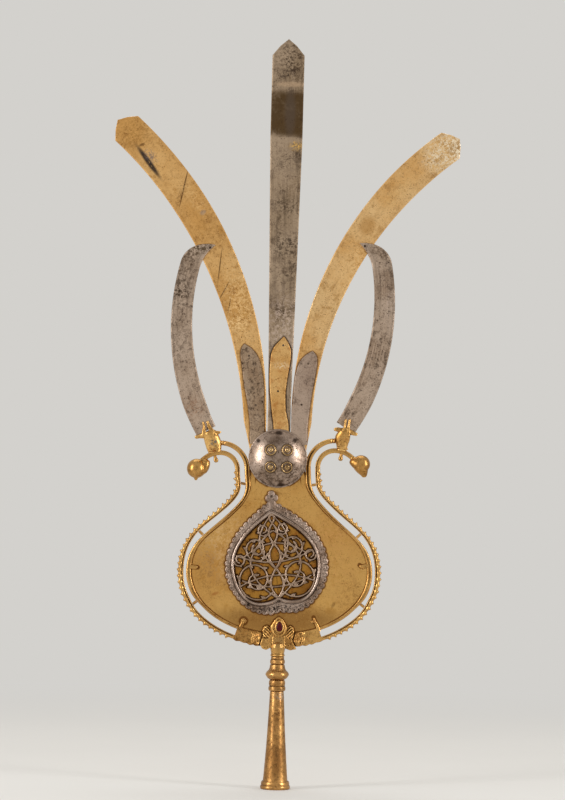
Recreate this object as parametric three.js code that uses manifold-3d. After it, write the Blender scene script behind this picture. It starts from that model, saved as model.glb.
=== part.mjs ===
// Alam finial: the head of a processional standard. A turned socket carries a gilded
// plate in an openwork frame with a toothed rim. A domed boss with four studs clamps
// three tall blades above the plate, and two small sabres stand in animal-head hilts.
// Millimetres, +Z up. The front faces -Y and the origin is the centre of the socket's mouth.
import * as THREE from 'three';
import { mergeVertices } from 'three/addons/utils/BufferGeometryUtils.js';
import Module from 'manifold-3d';

const wasm = await Module();
wasm.setup();

// Clearances
const fit = 0.3;              // between pieces that seat on each other
const shankFit = 0.4;         // round a stud's shank in its hole

// Socket, from the mouth up
const footRingHeight = 11;
const footRingRadius = 20.2;
const footRingFlat = 19.4;    // outer radius of the flat face at the mouth
const footLip = 1.5;          // depth of the lip below the sleeve
const mouthRadius = 15;
const sleeveHeight = 130;
const sleeveFootRadius = 17.2;
const sleeveHeadRadius = 9.3;
const sleeveWaist = 0.5;      // how far the sleeve's side is drawn in at half height
const sleeveWall = 1.9;       // at the inner shoulder
const collarHeight = 15;
const collarRadius = 11.5;
const knopHeight = 20.7;
const knopRadius = 15.8;
const neckRingHeight = 10.3;
const neckRingRadius = 10;
const spigotRadius = 6;
const spigotGrip = 15;        // length of the spigot in the sleeve's head
const washerThickness = 1;
const washerRim = 1.4;        // how far the washer reaches past the spigot
const peenHeight = 2;
const peenRim = 0.8;

// Frame
const stemHeight = 12.3;
const stemRadius = 9.8;
const frameDepth = 7;
const bellyHalfWidth = 118.8;
const bellyDrop = 82;
const bellyPull = 30;         // length of the curve's handle above the belly
const shoulderHalfWidth = 87;
const shoulderRise = 57.8;
const shoulderSlope = 40.4;   // degrees from level
const shoulderPullDown = 22;
const shoulderPullUp = 28;
const neckHalfWidth = 37.2;
const neckRise = 122;
const neckPull = 22;
const footHalfWidth = 54;     // half length of the solid crescent between the rails

// Widths of the inner rail, of the slot and of the outer rail at stations along the edge:
// 0 is the crescent's end, 1 the belly, 2 the shoulder and 3 the neck
const railStations = [
  { at: 0.00, inner: 4.5, slot: 8.8, outer: 5.5 },
  { at: 0.45, inner: 4.8, slot: 8.6, outer: 6.4 },
  { at: 0.72, inner: 7.0, slot: 4.2, outer: 7.2 },
  { at: 1.00, inner: 7.0, slot: 3.4, outer: 7.2 },
  { at: 1.85, inner: 4.2, slot: 8.2, outer: 4.8 },
  { at: 2.60, inner: 4.8, slot: 6.6, outer: 5.8 },
  { at: 3.00, inner: 7.4, slot: 6.2, outer: 6.6 },
];
const railChamfer = 0.3;      // share of the rail's width or depth
const toothPitch = 8.5;
const toothHeight = 3;
const toothPeak = 0.8;        // share of the pitch at which a tooth is highest
const crescentTeeth = 13;
const crescentToothHeight = 1.4;
const strutRadius = 1.9;
const strutNames = ['lower', 'middle', 'upper'];
const strutStations = [0.57, 1.72, 2.93];

// Lugs on the frame that overlap the plate
const lugWidth = 5;
const lugReach = 10;
const lugThickness = 1.4;
const lugRoot = 1.8;          // how far a lug is let into its rail
const lugBelow = 0.9;         // station of the side lugs
const lugFromAxis = 48.5;     // place of the foot lugs

// Stems that curl out of the rails towards the hilts
const stemCentreHalfWidth = 77;
const stemCentreRise = 15.3;
const innerStemTurn = 98;     // degrees of the inner stem's curl
const outerTailRadius = 33.8;
const outerTailTurn = 46;     // degrees past the top
const stemDepth = 6.4;

// Plate
const plateThickness = 2;
const plateInsert = 2;        // how far the plate enters the frame's groove
const plateTopHalfWidth = 31;
const plateTopRise = 66;      // top of the plate above the neck's foot, behind the boss

// Boss and its studs
const bossRise = 32;          // centre of the boss above the neck's foot
const bossShift = -4.8;       // sideways from the socket's axis
const leanStart = -34;        // where the neck starts to lean, from the neck's foot
const leanEnd = 16;
const bossRadius = 39.7;
const bossRim = 2.4;
const bossDome = 17;          // height of the dome over the face it rests on
const bossWall = 1.6;
const studSpreadX = 22.2;
const studSpreadZ = 23.2;
const studOffset = 1.4;       // the studs sit a little right of the dome's centre
const studShank = 1.8;
const studHead = 3.9;
const studHeadRise = 3;
const studRingRadius = 7.7;
const studRingWidth = 2.5;
const studRingRise = 1.8;
const backPlateHalfWidth = 22;
const backPlateHalfHeight = 21;
const backPlateThickness = 1.5;
const rearHeadRadius = 3.2;
const rearHeadRise = 1.2;

// Blades, measured from the boss's centre
const bladeThickness = 2;
const bladeGap = 1.1;         // between neighbouring blades
const centreShift = 0.3;
const centreLean = 0.0069;    // sideways travel per millimetre of height
const centreRoot = 4.5;       // lower end of the centre blade
const centreRootWidth = 30.8;
const centreFromRise = 79;    // where the centre blade starts to widen
const centreFullRise = 430;
const centreFullWidth = 43.4;
const centreShoulder = 544;
const centreTip = 22;
const hookBottom = -19;
const hookOuter = 31.2;
const hookBend = { out: 38.5, rise: 13.6 };
const hookSplit = 1.1;        // where the two hooks meet, sideways
const hookGap = 0.4;
const centreRows = 8;
const sideRows = 18;

// Tongues over the blades' roots
const tongueThickness = 1.2;
const tongueRivet = { shank: 0.9, head: 1.5, rise: 0.5 };

// Sabres
const sabreThickness = 1.8;
const sabreArc = 42.4;        // degrees; the radius follows from the span it has to reach
const sabreRootWidth = 28.6;
const sabreWidth = 30.8;
const sabreNeckWidth = 27;
const sabreSwell = 0.2;       // share of the arc over which the root widens
const sabreTipForward = 35;
const sabreTipInward = 26;
const sabreRivet = { shank: 1, head: 1.7, rise: 0.6, back: 7.4, drop: 3.8 };
const sabreRows = 11;

// Hilts, with heights measured along the hilt's axis from its foot on the stem
const hiltHalfWidth = 86.8;
const hiltHeight = 42;
const hiltBase = 29;          // where the sabre's squared end sits
const hiltRings = [
  { at: -2.5, across: 7.0, deep: 4.6 },
  { at: 2, across: 7.4, deep: 4.8 },
  { at: 8, across: 9.2, deep: 6.0 },
  { at: 15, across: 10.8, deep: 7.0 },
  { at: 20, across: 9.2, deep: 6.8 },
  { at: 25, across: 7.2, deep: 6.0 },
  { at: 31, across: 5.0, deep: 4.6 },
  { at: 34, across: 4.3, deep: 4.2 },
];
const ringSides = 10;
const jawForward = 4.5;       // how far the head leans to the front, to meet the sabre
const jawFrom = 10;
const prongSpread = 2.7;
const prongRadius = 2.6;
const prongRoot = 24;
const hornReach = 17;
const hornAt = 24;
const hornRadius = 4.2;
const hiltPin = { shank: 1.9, bead: 3.1, neck: 2.2, drop: 8.4, top: 6 };

const budRows = 10;

// What differs from left to right. Blade: arc of the centre line from the boss's centre,
// `from` and `to` in degrees. Sabre tip: angle on that arc, and how far outside it. Tongue
// rows: height, shift towards the middle and width. Bud rows, from the end of the lower
// stem: outward, down and radius.
const sides = [
  {
    name: 'left',
    sign: -1,
    rise: 0,
    hiltLean: 15.9,
    sabreOffset: 2.8,
    sabreTip: { at: 27.2, out: -2.6 },
    blade: {
      radius: 542.5, shift: 31.6, centreRise: 37.1, from: 1.5, to: 48.2,
      rootWidth: 30.5, width: 45.3, widening: 0.72, easing: 1.6, tip: 16.6,
    },
    tongue: [
      [30, 2.8, 20], [45, 2.8, 20.2], [72, 1.5, 22.5], [99, 1, 27.2], [126, 0.5, 26.4],
      [139, -0.6, 23], [148, -2.2, 14], [153.6, -3.7, 3],
    ],
    tongueRivets: [137.7, 71.2],
    bud: [
      [-3.5, -3.6, 4.7], [0.3, 0.8, 6], [4.4, 5, 9.4], [8.6, 9.6, 12.4], [10.4, 14.4, 11.4],
      [10.4, 19.6, 7.6], [9.8, 24, 3.2], [9.2, 28.4, 1.3],
    ],
  },
  {
    name: 'right',
    sign: 1,
    rise: 5.7,
    hiltLean: 9.5,
    sabreOffset: -1.3,
    sabreTip: { at: 31.8, out: 2.7 },
    blade: {
      radius: 475.6, shift: 30.8, centreRise: 43.2, from: 0.7, to: 53.7,
      rootWidth: 27.5, width: 42.8, widening: 0.85, easing: 1.3, tip: 15.3,
    },
    tongue: [
      [30, 2.6, 22.6], [46, 2.6, 23.2], [80, 1.2, 25], [107, 1, 27.6], [122, 0.6, 26.6],
      [131.6, 0, 24], [140, -1.2, 15], [145.5, -2.1, 3],
    ],
    tongueRivets: [128.6, 73],
    bud: [
      [-3.4, -3.6, 4.6], [1, 1.4, 6], [5, 4.6, 8.8], [9.8, 7.2, 10.8], [13.4, 10.6, 10.4],
      [15.4, 15, 7.6], [15.4, 19.2, 4], [15, 23.6, 1.4],
    ],
  },
];

// Rows of the centre tongue: height, sideways place and width
const centreTongue = [
  [22, 5, 19.5], [46, 3.2, 20.6], [63, 0.2, 19.4], [79, -1.3, 20.2], [93, -1.8, 22],
  [113, -1, 25.2], [132, 1, 27.4], [142, 1.9, 26.6], [151, 3, 21], [159, 4.4, 10],
  [164.3, 5.2, 2],
];
const centreTongueRivets = [{ x: 4.4, z: 152.6 }, { x: -1.5, z: 90.6 }];

// Medallion, drawn upright about its own centre
const medallionX = -4;
const medallionFromBelly = 13;
const medallionLean = 5.9;    // degrees to the left
const medallionEdge = { half: 68.2, top: 84, widest: -5, bottom: -67.5, cusp: -63.5 };
const opening = { half: 58, top: 67.2, widest: -2, bottom: -53, cusp: -46.2 };
const openingShift = -2;
const medallionThickness = 3.2;
const petalCount = 40;
const petalReach = 2.6;
const petalSteps = 3;
const beadGap = 1;
const beadWidth = 3.2;
const beadRise = 1.3;
const vineWidth = 3.3;
const vineThickness = 1.8;
const groundThickness = 0.8;
const groundLap = 3;
const knobRise = 90;
const knobShift = 1;
const knobLobe = 5.2;
const knobSpread = 4;
const medallionRivet = { shank: 1.2, head: 2, rise: 0.7 };

// Spine and scrolls inside the opening. Every length is a share of the opening's half width
// or half height, measured from its middle. `leaves` counts steps along a scroll.
const spineNodes = [-0.933, -0.251, 0.315, 0.78, 1.03];
const spineSwell = [0.155, 0.138, 0.103, 0.06];
const scrolls = [
  {
    x: 0.5, z: -0.467, outer: 0.49, inner: 0.11, from: 220, turns: 1.6, way: 1,
    leaves: [2, 5, 8, 11],
  },
  {
    x: 0.43, z: 0.23, outer: 0.3, inner: 0.095, from: 200, turns: 1.5, way: 1,
    leaves: [3, 6, 9],
  },
  { x: 0.225, z: 0.647, outer: 0.15, inner: 0.068, from: 210, turns: 1.1, way: 1, leaves: [5] },
  { x: 0.853, z: 0.015, outer: 0.158, inner: 0.068, from: 20, turns: 1.2, way: -1, leaves: [] },
];
const scrollSteps = 11;       // in each turn
const leafLength = 9;
const leafWidth = 6;
const leafTurn = 40;          // degrees by which a side leaf leaves its scroll

// Ornament on the crescent
const palmetteShift = 1;
const palmetteDepth = 3.4;
const palmette = [
  [0, 42.3], [5, 36.7], [9.5, 28.2], [13, 26.7], [18.5, 29.2], [21.8, 21.7], [20.5, 12.7],
  [22, 5.7], [23.5, -2], [15, -2], [9.5, 1.9],
];
const palmetteHeel = 21.2;    // above this the palmette is thick enough to reach the plate
const garnetRise = 28.3;
const garnetShift = 1.8;
const garnetHalfWidth = 4;
const garnetHalfHeight = 6.4;
const garnetHeight = 2.4;
const bezelWidth = 2.4;
const bezelHeight = 1.6;

// Places that follow from the sizes above
const sleeveFoot = footLip + fit;
const collarZ = sleeveFoot + sleeveHeight + fit;
const knopZ = collarZ + collarHeight + fit;
const neckRingZ = knopZ + knopHeight + fit;
const socketTop = neckRingZ + neckRingHeight + fit;
const footRail = railStations[0].inner + railStations[0].slot + railStations[0].outer;
const crescentZ = socketTop + stemHeight;
const bellyZ = crescentZ + footRail + bellyDrop;
const neckZ = bellyZ + neckRise;
const bossZ = neckZ + bossRise;
const frameFront = -frameDepth / 2;
const plateFront = -plateThickness / 2;
const plateBack = plateThickness / 2;
const bladeBack = plateFront - fit;
const bladeFront = bladeBack - bladeThickness;
const tongueBack = bladeFront - fit;
const tongueFront = tongueBack - tongueThickness;
const bossBack = tongueFront - fit;
const sabreBack = bladeFront - fit;
const sabreFront = sabreBack - sabreThickness;
const backPlateBack = plateBack + fit + backPlateThickness;

// Finishes
const gilt = { color: 0xc99a4e, roughness: 0.42, metalness: 1 };
const castGilt = { color: 0xd2a050, roughness: 0.34, metalness: 1 };
const steel = { color: 0x978778, roughness: 0.48, metalness: 1 };
const silver = { color: 0x96877f, roughness: 0.4, metalness: 1 };
const darkGilt = { color: 0x966a20, roughness: 0.5, metalness: 1 };
const darkIron = { color: 0x43382f, roughness: 0.6, metalness: 0.8 };
const garnetRed = { color: 0x46191e, roughness: 0.15, metalness: 0 };

const radians = THREE.MathUtils.degToRad;
const { lerp, smoothstep, clamp } = THREE.MathUtils;
const point2 = (x, z) => new THREE.Vector2(x, z);
const upAxis = new THREE.Vector3(0, 0, 1);
const model = new THREE.Group();

function mesh(name, geometry, finish, parent = model) {
  const piece = new THREE.Mesh(geometry, new THREE.MeshStandardMaterial(finish));
  piece.name = name;
  parent.add(piece);
  return piece;
}

// Turns the faces outward and drops the triangles that a pole has closed up.
function closed(geometry) {
  const bare = geometry.clone();
  bare.deleteAttribute('normal');
  bare.deleteAttribute('uv');
  const merged = mergeVertices(bare);
  const place = merged.attributes.position;
  const corner = [new THREE.Vector3(), new THREE.Vector3(), new THREE.Vector3()];
  const kept = [];
  let volume = 0;
  for (let i = 0; i < merged.index.count; i += 3) {
    const three = [0, 1, 2].map((k) => merged.index.getX(i + k));
    if (new Set(three).size === 3) {
      kept.push(three);
      three.forEach((vertex, k) => corner[k].fromBufferAttribute(place, vertex));
      volume += corner[0].dot(corner[1].clone().cross(corner[2]));
    }
  }
  merged.setIndex(kept.map((three) => (volume < 0 ? [...three].reverse() : three)).flat());
  merged.computeVertexNormals();
  return merged;
}

function toSolid(geometry) {
  const body = closed(geometry);
  return new wasm.Manifold(new wasm.Mesh({
    numProp: 3,
    vertProperties: new Float32Array(body.attributes.position.array),
    triVerts: new Uint32Array(body.index.array),
  }));
}

function toGeometry(solid) {
  const { vertProperties, triVerts } = solid.getMesh();
  const geometry = new THREE.BufferGeometry();
  geometry.setAttribute('position', new THREE.BufferAttribute(vertProperties, 3));
  geometry.setIndex(new THREE.BufferAttribute(triVerts, 1));
  geometry.computeVertexNormals();
  return geometry;
}

function union(geometries) {
  return geometries.map(toSolid).reduce((whole, next) => whole.add(next));
}

// A flat piece: its outline is drawn in (x, z) and its thickness runs forward from `back`.
function sheet(outline, back, thickness, holes = []) {
  const clockwise = THREE.ShapeUtils.isClockWise(outline);
  const shape = new THREE.Shape(clockwise ? [...outline].reverse() : outline);
  shape.holes = holes.map((hole) => new THREE.Path(hole));
  const geometry = new THREE.ExtrudeGeometry(shape, {
    depth: thickness,
    bevelEnabled: false,
    curveSegments: 1,
  });
  return geometry.rotateX(Math.PI / 2).translate(0, back, 0);
}

// A piece turned about Z, from pairs of radius and height.
function turned(profile, segments = 22) {
  const points = profile.map(([radius, z]) => point2(radius, z));
  return new THREE.LatheGeometry(points, segments).rotateX(Math.PI / 2);
}

// A piece turned about Y, from pairs of radius and y.
function turnedForward(profile, segments = 10) {
  return new THREE.LatheGeometry(profile.map(([radius, y]) => point2(radius, y)), segments);
}

function circle(centreX, centreZ, radius, segments = 12) {
  return Array.from({ length: segments }, (_, i) => {
    const angle = (2 * Math.PI * i) / segments;
    return point2(centreX + radius * Math.cos(angle), centreZ + radius * Math.sin(angle));
  });
}

// An outline pushed outward, by a distance that may change from point to point.
function pushed(outline, distanceAt) {
  const way = THREE.ShapeUtils.isClockWise(outline) ? 1 : -1;
  return outline.map((point, i) => {
    const before = outline[(i + outline.length - 1) % outline.length];
    const after = outline[(i + 1) % outline.length];
    const run = after.clone().sub(before).setLength(way * distanceAt(i));
    return point2(point.x - run.y, point.y + run.x);
  });
}
const grown = (outline, distance) => pushed(outline, () => distance);

// A rivet along Y: a head in front of `front` and a lower one behind `back`.
function rivet({ shank, head, rise }, back, front) {
  const seat = front - fit;
  const rear = back + fit;
  return turnedForward([
    [0, rear + rise], [head * 0.9, rear], [shank, rear],
    [shank, seat], [head, seat], [head * 0.5, seat - rise], [0, seat - rise],
  ], 8);
}

// A closed body through rings of equal length, with a flat cap at each end.
function loft(rings) {
  const size = rings[0].length;
  const index = [];
  for (let r = 0; r < rings.length - 1; r += 1) {
    for (let k = 0; k < size; k += 1) {
      const a = r * size + k;
      const b = r * size + ((k + 1) % size);
      index.push(a, b, b + size, a, b + size, a + size);
    }
  }
  const last = (rings.length - 1) * size;
  for (let k = 1; k < size - 1; k += 1) {
    index.push(0, k + 1, k, last, last + k, last + k + 1);
  }
  const geometry = new THREE.BufferGeometry();
  const vertices = rings.flat().flatMap((point) => point.toArray());
  geometry.setAttribute('position', new THREE.Float32BufferAttribute(vertices, 3));
  geometry.setIndex(index);
  return geometry;
}

// The body's edge, drawn for the right half: an ellipse below and two cubic curves above.
const slope = radians(shoulderSlope);
const alongShoulder = point2(-Math.cos(slope), Math.sin(slope));
const belly = point2(bellyHalfWidth, bellyZ);
const shoulder = point2(shoulderHalfWidth, bellyZ + shoulderRise);
const neckFoot = point2(neckHalfWidth, neckZ);
const footAngle = Math.acos(footHalfWidth / bellyHalfWidth);
const edgeCurves = [
  new THREE.EllipseCurve(0, bellyZ, bellyHalfWidth, bellyDrop, -footAngle, 0),
  new THREE.CubicBezierCurve(
    belly,
    point2(bellyHalfWidth, bellyZ + bellyPull),
    shoulder.clone().addScaledVector(alongShoulder, -shoulderPullDown),
    shoulder,
  ),
  new THREE.CubicBezierCurve(
    shoulder,
    shoulder.clone().addScaledVector(alongShoulder, shoulderPullUp),
    point2(neckHalfWidth, neckZ - neckPull),
    neckFoot,
  ),
];

// A point of the edge, its outward normal and the rails' widths at station 0 to 3.
function edgeAt(station) {
  const which = Math.min(Math.floor(station), edgeCurves.length - 1);
  const point = edgeCurves[which].getPoint(station - which);
  const tangent = edgeCurves[which].getTangent(station - which);
  const next = Math.max(1, railStations.findIndex((row) => row.at >= station));
  const low = railStations[next - 1];
  const high = railStations[next];
  const share = smoothstep(station, low.at, high.at);
  const mix = (key) => lerp(low[key], high[key], share);
  return {
    point,
    normal: point2(tangent.y, -tangent.x).normalize(),
    inner: mix('inner'),
    slot: mix('slot'),
    outer: mix('outer'),
  };
}

// The neck leans sideways to meet the boss.
const lean = (z) => bossShift * smoothstep(z, neckZ + leanStart, neckZ + leanEnd);
const placed = (point, y, sign) => (
  new THREE.Vector3(sign * point.x + lean(point.y), y, point.y)
);

// A chamfered section across a rail, from its inner side to its outer side.
function section({ width, depth, tooth = 0 }) {
  const chamfer = railChamfer * Math.min(width, depth);
  const u = width / 2;
  const v = depth / 2;
  return [
    [-u, -v], [u - chamfer, -v], [u + tooth, -v + chamfer],
    [u + tooth, v - chamfer], [u - chamfer, v], [-u, v],
  ];
}

// A bar along a path of rows that hold a point, a normal and the section's sizes.
function sweep(path, sign) {
  return loft(path.map((row) => section(row).map(([u, v]) => (
    placed(row.point.clone().addScaledVector(row.normal, u), v, sign)
  ))));
}

// A path made fatter all round, to cut a seat for it in another piece.
function fattened(path) {
  return path.map((row) => ({ ...row, width: row.width + 2 * fit, depth: row.depth + 2 * fit }));
}

// The last rows of a path made fatter, and longer by the same clearance.
function seatCutter(path, rows, sign) {
  const end = fattened(path.slice(-rows));
  const last = end[end.length - 1];
  const onward = last.point.clone().sub(end[end.length - 2].point).setLength(fit);
  return toSolid(sweep([...end, { ...last, point: last.point.clone().add(onward) }], sign));
}

// An arc about (x, z) from angle to angle, in degrees, whose outer side faces its centre.
function arcPath(x, z, radius, from, to, steps, width) {
  return Array.from({ length: steps + 1 }, (_, i) => {
    const angle = radians(lerp(from, to, i / steps));
    const ray = point2(Math.cos(angle), Math.sin(angle));
    return {
      point: point2(x, z).addScaledVector(ray, radius),
      normal: ray.clone().negate(),
      width,
      depth: stemDepth,
    };
  });
}

const neck = edgeAt(3);
const stemStart = neckHalfWidth + neck.inner / 2;
const outerStemStart = neckHalfWidth + neck.inner + neck.slot + neck.outer / 2;
const outerCurl = stemCentreHalfWidth - outerStemStart;
const railRows = 30;
const innerStemRows = 12;
const outerCurlRows = 9;
const outerTailRows = 5;

function innerPath(side) {
  const rail = Array.from({ length: railRows + 1 }, (_, i) => {
    const { point, normal, inner } = edgeAt((3 * i) / railRows);
    return {
      point: point.addScaledVector(normal, inner / 2), normal, width: inner, depth: frameDepth,
    };
  });
  const stem = arcPath(
    stemCentreHalfWidth, neckZ + stemCentreRise + side.rise, stemCentreHalfWidth - stemStart,
    180, 180 - innerStemTurn, innerStemRows, neck.inner,
  );
  return [...rail, ...stem];
}

// Stations at which the outer rail's teeth start, peak and end, one pitch after another.
function toothRows() {
  const steps = 240;
  const rim = Array.from({ length: steps + 1 }, (_, i) => {
    const station = (3 * i) / steps;
    const { point, normal, inner, slot, outer } = edgeAt(station);
    return { station, point: point.addScaledVector(normal, inner + slot + outer) };
  });
  const stages = [
    { tooth: 0, onward: toothPitch * toothPeak },
    { tooth: toothHeight, onward: toothPitch * (1 - toothPeak) },
  ];
  const rows = [{ station: 0, tooth: 0 }];
  let length = 0;
  let next = toothPitch / 2;
  for (let i = 1; i <= steps; i += 1) {
    const step = rim[i].point.distanceTo(rim[i - 1].point);
    while (length + step >= next) {
      const { tooth, onward } = stages[(rows.length - 1) % stages.length];
      rows.push({ station: lerp(rim[i - 1].station, rim[i].station, (next - length) / step), tooth });
      next += onward;
    }
    length += step;
  }
  return [...rows, { station: 3, tooth: 0 }];
}

function outerPath(side) {
  const rail = toothRows().map(({ station, tooth }) => {
    const { point, normal, inner, slot, outer } = edgeAt(station);
    return {
      point: point.addScaledVector(normal, inner + slot + outer / 2),
      normal,
      width: outer,
      depth: frameDepth,
      tooth,
    };
  });
  const centreZ = neckZ + stemCentreRise + side.rise;
  const curl = arcPath(
    stemCentreHalfWidth, centreZ, outerCurl, 180, 90, outerCurlRows, neck.outer,
  );
  const tail = arcPath(
    stemCentreHalfWidth, centreZ + outerCurl - outerTailRadius, outerTailRadius,
    90, 90 - outerTailTurn, outerTailRows, neck.outer,
  );
  return [...rail, ...curl, ...tail.slice(1)];
}

// The plate: the visible edge pushed into the frame's groove, and a neck behind the boss.
function plateOutline(extra) {
  const reach = plateInsert + extra;
  const half = Array.from({ length: 13 }, (_, i) => {
    const angle = lerp(-Math.PI / 2, -footAngle, i / 12);
    return point2(
      (bellyHalfWidth + reach) * Math.cos(angle), bellyZ + (bellyDrop + reach) * Math.sin(angle),
    );
  });
  for (let i = 1; i <= railRows; i += 1) {
    const { point, normal } = edgeAt((3 * i) / railRows);
    half.push(point.addScaledVector(normal, reach));
  }
  half.push(point2(neckHalfWidth + extra, neckZ + stemCentreRise));
  half.push(point2(plateTopHalfWidth + extra, neckZ + plateTopRise + extra));
  const other = half.slice(1).reverse();
  return [
    ...half.map((point) => point2(point.x + lean(point.y), point.y)),
    ...other.map((point) => point2(-point.x + lean(point.y), point.y)),
  ];
}

const groove = toSolid(sheet(plateOutline(fit), plateBack + fit, plateThickness + 2 * fit));

// A lug over the plate, from a point of the edge along its inward normal.
function lug({ point, normal }, sign) {
  const tangent = point2(-normal.y, normal.x);
  const half = lugWidth / 2;
  const outline = [
    [lugRoot, -half], [lugRoot, half], [half - lugReach, half], [-lugReach, 0],
    [half - lugReach, -half],
  ].map(([out, side]) => (
    point.clone().addScaledVector(normal, out).addScaledVector(tangent, side)
  ));
  return loft([bladeBack, bladeBack - lugThickness].map((y) => (
    outline.map((corner) => placed(corner, y, sign))
  )));
}

// Foot: the solid crescent, with the turned stem and the spigot below it
function footAt(angle) {
  return {
    point: point2(bellyHalfWidth * Math.cos(angle), bellyZ + bellyDrop * Math.sin(angle)),
    normal: point2(bellyDrop * Math.cos(angle), bellyHalfWidth * Math.sin(angle)).normalize(),
  };
}
const travelPerRadian = Math.hypot(
  bellyHalfWidth * Math.sin(footAngle), bellyDrop * Math.cos(footAngle),
);
const crescentEnd = footAngle + (fit + fit / 2) / travelPerRadian;
const crescentPath = Array.from({ length: 2 * crescentTeeth + 1 }, (_, i) => {
  const { point, normal } = footAt(lerp(-Math.PI + crescentEnd, -crescentEnd, i / (2 * crescentTeeth)));
  return {
    point: point.addScaledVector(normal, footRail / 2),
    normal,
    width: footRail,
    depth: frameDepth,
    tooth: i % 2 ? crescentToothHeight : 0,
  };
});
const shoulderZ = sleeveFoot + sleeveHeight - spigotGrip;
const peenZ = shoulderZ - fit - washerThickness - fit;
const stemBody = turned([
  [0, peenZ - peenHeight], [spigotRadius + peenRim, peenZ - peenHeight],
  [spigotRadius + peenRim, peenZ], [spigotRadius, peenZ], [spigotRadius, socketTop],
  [stemRadius, socketTop], [stemRadius - 0.6, socketTop + stemHeight * 0.45],
  [stemRadius + 0.4, crescentZ], [frameDepth / 2, crescentZ + 1], [0, crescentZ + 1],
], 24);
const footLug = footAt(-Math.acos(lugFromAxis / bellyHalfWidth));
mesh('base_crescent', toGeometry(
  toSolid(sweep(crescentPath, 1)).subtract(groove)
    .add(union([stemBody, lug(footLug, -1), lug(footLug, 1)])),
), castGilt);

// Socket: pieces threaded on the spigot
const bore = spigotRadius + fit;
const sleeveSide = Array.from({ length: 9 }, (_, i) => {
  const waist = sleeveWaist * Math.sin((Math.PI * i) / 8);
  return [lerp(sleeveFootRadius, sleeveHeadRadius, i / 8) - waist, (sleeveHeight * i) / 8];
});
const gripFrom = sleeveHeight - spigotGrip;
const boreTop = lerp(sleeveFootRadius, sleeveHeadRadius, gripFrom / sleeveHeight) - sleeveWall;
mesh('socket_sleeve', closed(turned([
  ...sleeveSide, [bore, sleeveHeight], [bore, gripFrom], [boreTop, gripFrom],
  [mouthRadius, 0], sleeveSide[0],
])), castGilt).position.z = sleeveFoot;
mesh('foot_ring', closed(turned([
  [mouthRadius, 0], [footRingFlat, 0], [footRingRadius, 1.6], [footRingRadius, 4.4],
  [sleeveFootRadius + 1.5, 5.4], [sleeveFootRadius + 2.2, 7], [sleeveFootRadius + 1.7, 9],
  [sleeveFootRadius + 0.9, footRingHeight], [sleeveFootRadius + fit, footRingHeight],
  [sleeveFootRadius + fit, footLip], [mouthRadius, footLip], [mouthRadius, 0],
])), castGilt);
mesh('spigot_washer', closed(turned([
  [bore, 0], [spigotRadius + washerRim, 0], [spigotRadius + washerRim, washerThickness],
  [bore, washerThickness], [bore, 0],
], 20)), darkIron).position.z = shoulderZ - fit - washerThickness;
mesh('socket_collar', closed(turned([
  [bore, 0], [collarRadius - 1.2, 0], [collarRadius, 1.4], [collarRadius, 5.6],
  [collarRadius - 1.3, 6.8], [collarRadius - 0.5, 8.2], [collarRadius - 0.4, 12.6],
  [collarRadius - 1.4, collarHeight], [bore, collarHeight], [bore, 0],
])), castGilt).position.z = collarZ;
mesh('socket_knop', closed(turned([
  [bore, 0], [collarRadius - 1.6, 0], [knopRadius - 2.6, 2.4], [knopRadius, 6.4],
  [knopRadius, 7.8], [knopRadius - 1.2, 10.4], [collarRadius + 0.2, 13],
  [neckRingRadius + 0.4, 16], [neckRingRadius - 0.2, knopHeight], [bore, knopHeight], [bore, 0],
])), castGilt).position.z = knopZ;
mesh('neck_ring', closed(turned([
  [bore, 0], [neckRingRadius - 0.8, 0], [neckRingRadius, 1.2], [neckRingRadius, 5.4],
  [neckRingRadius - 1.4, 6.8], [neckRingRadius - 1.2, 7.6], [neckRingRadius - 0.8, 9],
  [neckRingRadius - 1.3, neckRingHeight], [bore, neckRingHeight], [bore, 0],
])), castGilt).position.z = neckRingZ;

// Plate, with holes for the studs and for the medallion's rivet
const medallionZ = bellyZ + medallionFromBelly;
const medallionTurn = radians(medallionLean);
const knobPlace = point2(knobShift, knobRise).rotateAround(point2(0, 0), medallionTurn)
  .add(point2(medallionX, medallionZ));
const studs = [
  { name: 'upper_left', x: -1, z: 1 },
  { name: 'upper_right', x: 1, z: 1 },
  { name: 'lower_left', x: -1, z: -1 },
  { name: 'lower_right', x: 1, z: -1 },
].map(({ name, x, z }) => (
  { name, x: studOffset + (x * studSpreadX) / 2, z: (z * studSpreadZ) / 2 }
));
const studHoles = (places, x = 0, z = 0) => (
  places.map((stud) => circle(x + stud.x, z + stud.z, studShank + shankFit))
);
mesh('body_plate', closed(sheet(plateOutline(0), plateBack, plateThickness, [
  ...studHoles(studs, bossShift, bossZ),
  circle(knobPlace.x, knobPlace.y, medallionRivet.shank + fit),
])), gilt);

// A place on a side blade, mirrored to the right: an angle on the arc of its centre line,
// and a distance outside it. Measured from the boss's centre.
function onBlade({ blade }, degrees, out) {
  const angle = radians(degrees);
  const reach = blade.radius - out;
  return point2(
    blade.shift + blade.radius - reach * Math.cos(angle),
    blade.centreRise + reach * Math.sin(angle),
  );
}

// The radius of a sabre's arc, and its turn at the root, for the span from root to tip.
// The tip is held off the arc's end, so the span's length gives a quadratic in the radius.
function sabreArcOver(span) {
  const arc = radians(sabreArc);
  const chord = point2(Math.cos(arc) - 1, Math.sin(arc));
  const hook = point2(-Math.sin(arc), Math.cos(arc)).multiplyScalar(sabreTipForward)
    .add(point2(Math.cos(arc), Math.sin(arc)).multiplyScalar(-sabreTipInward));
  const a = chord.lengthSq();
  const b = chord.dot(hook);
  const c = hook.lengthSq() - span.lengthSq();
  const radius = (-b + Math.sqrt(b * b - a * c)) / a;
  const upright = chord.clone().multiplyScalar(radius).add(hook);
  return { radius, turn: upright.angle() - span.angle() };
}

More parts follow.
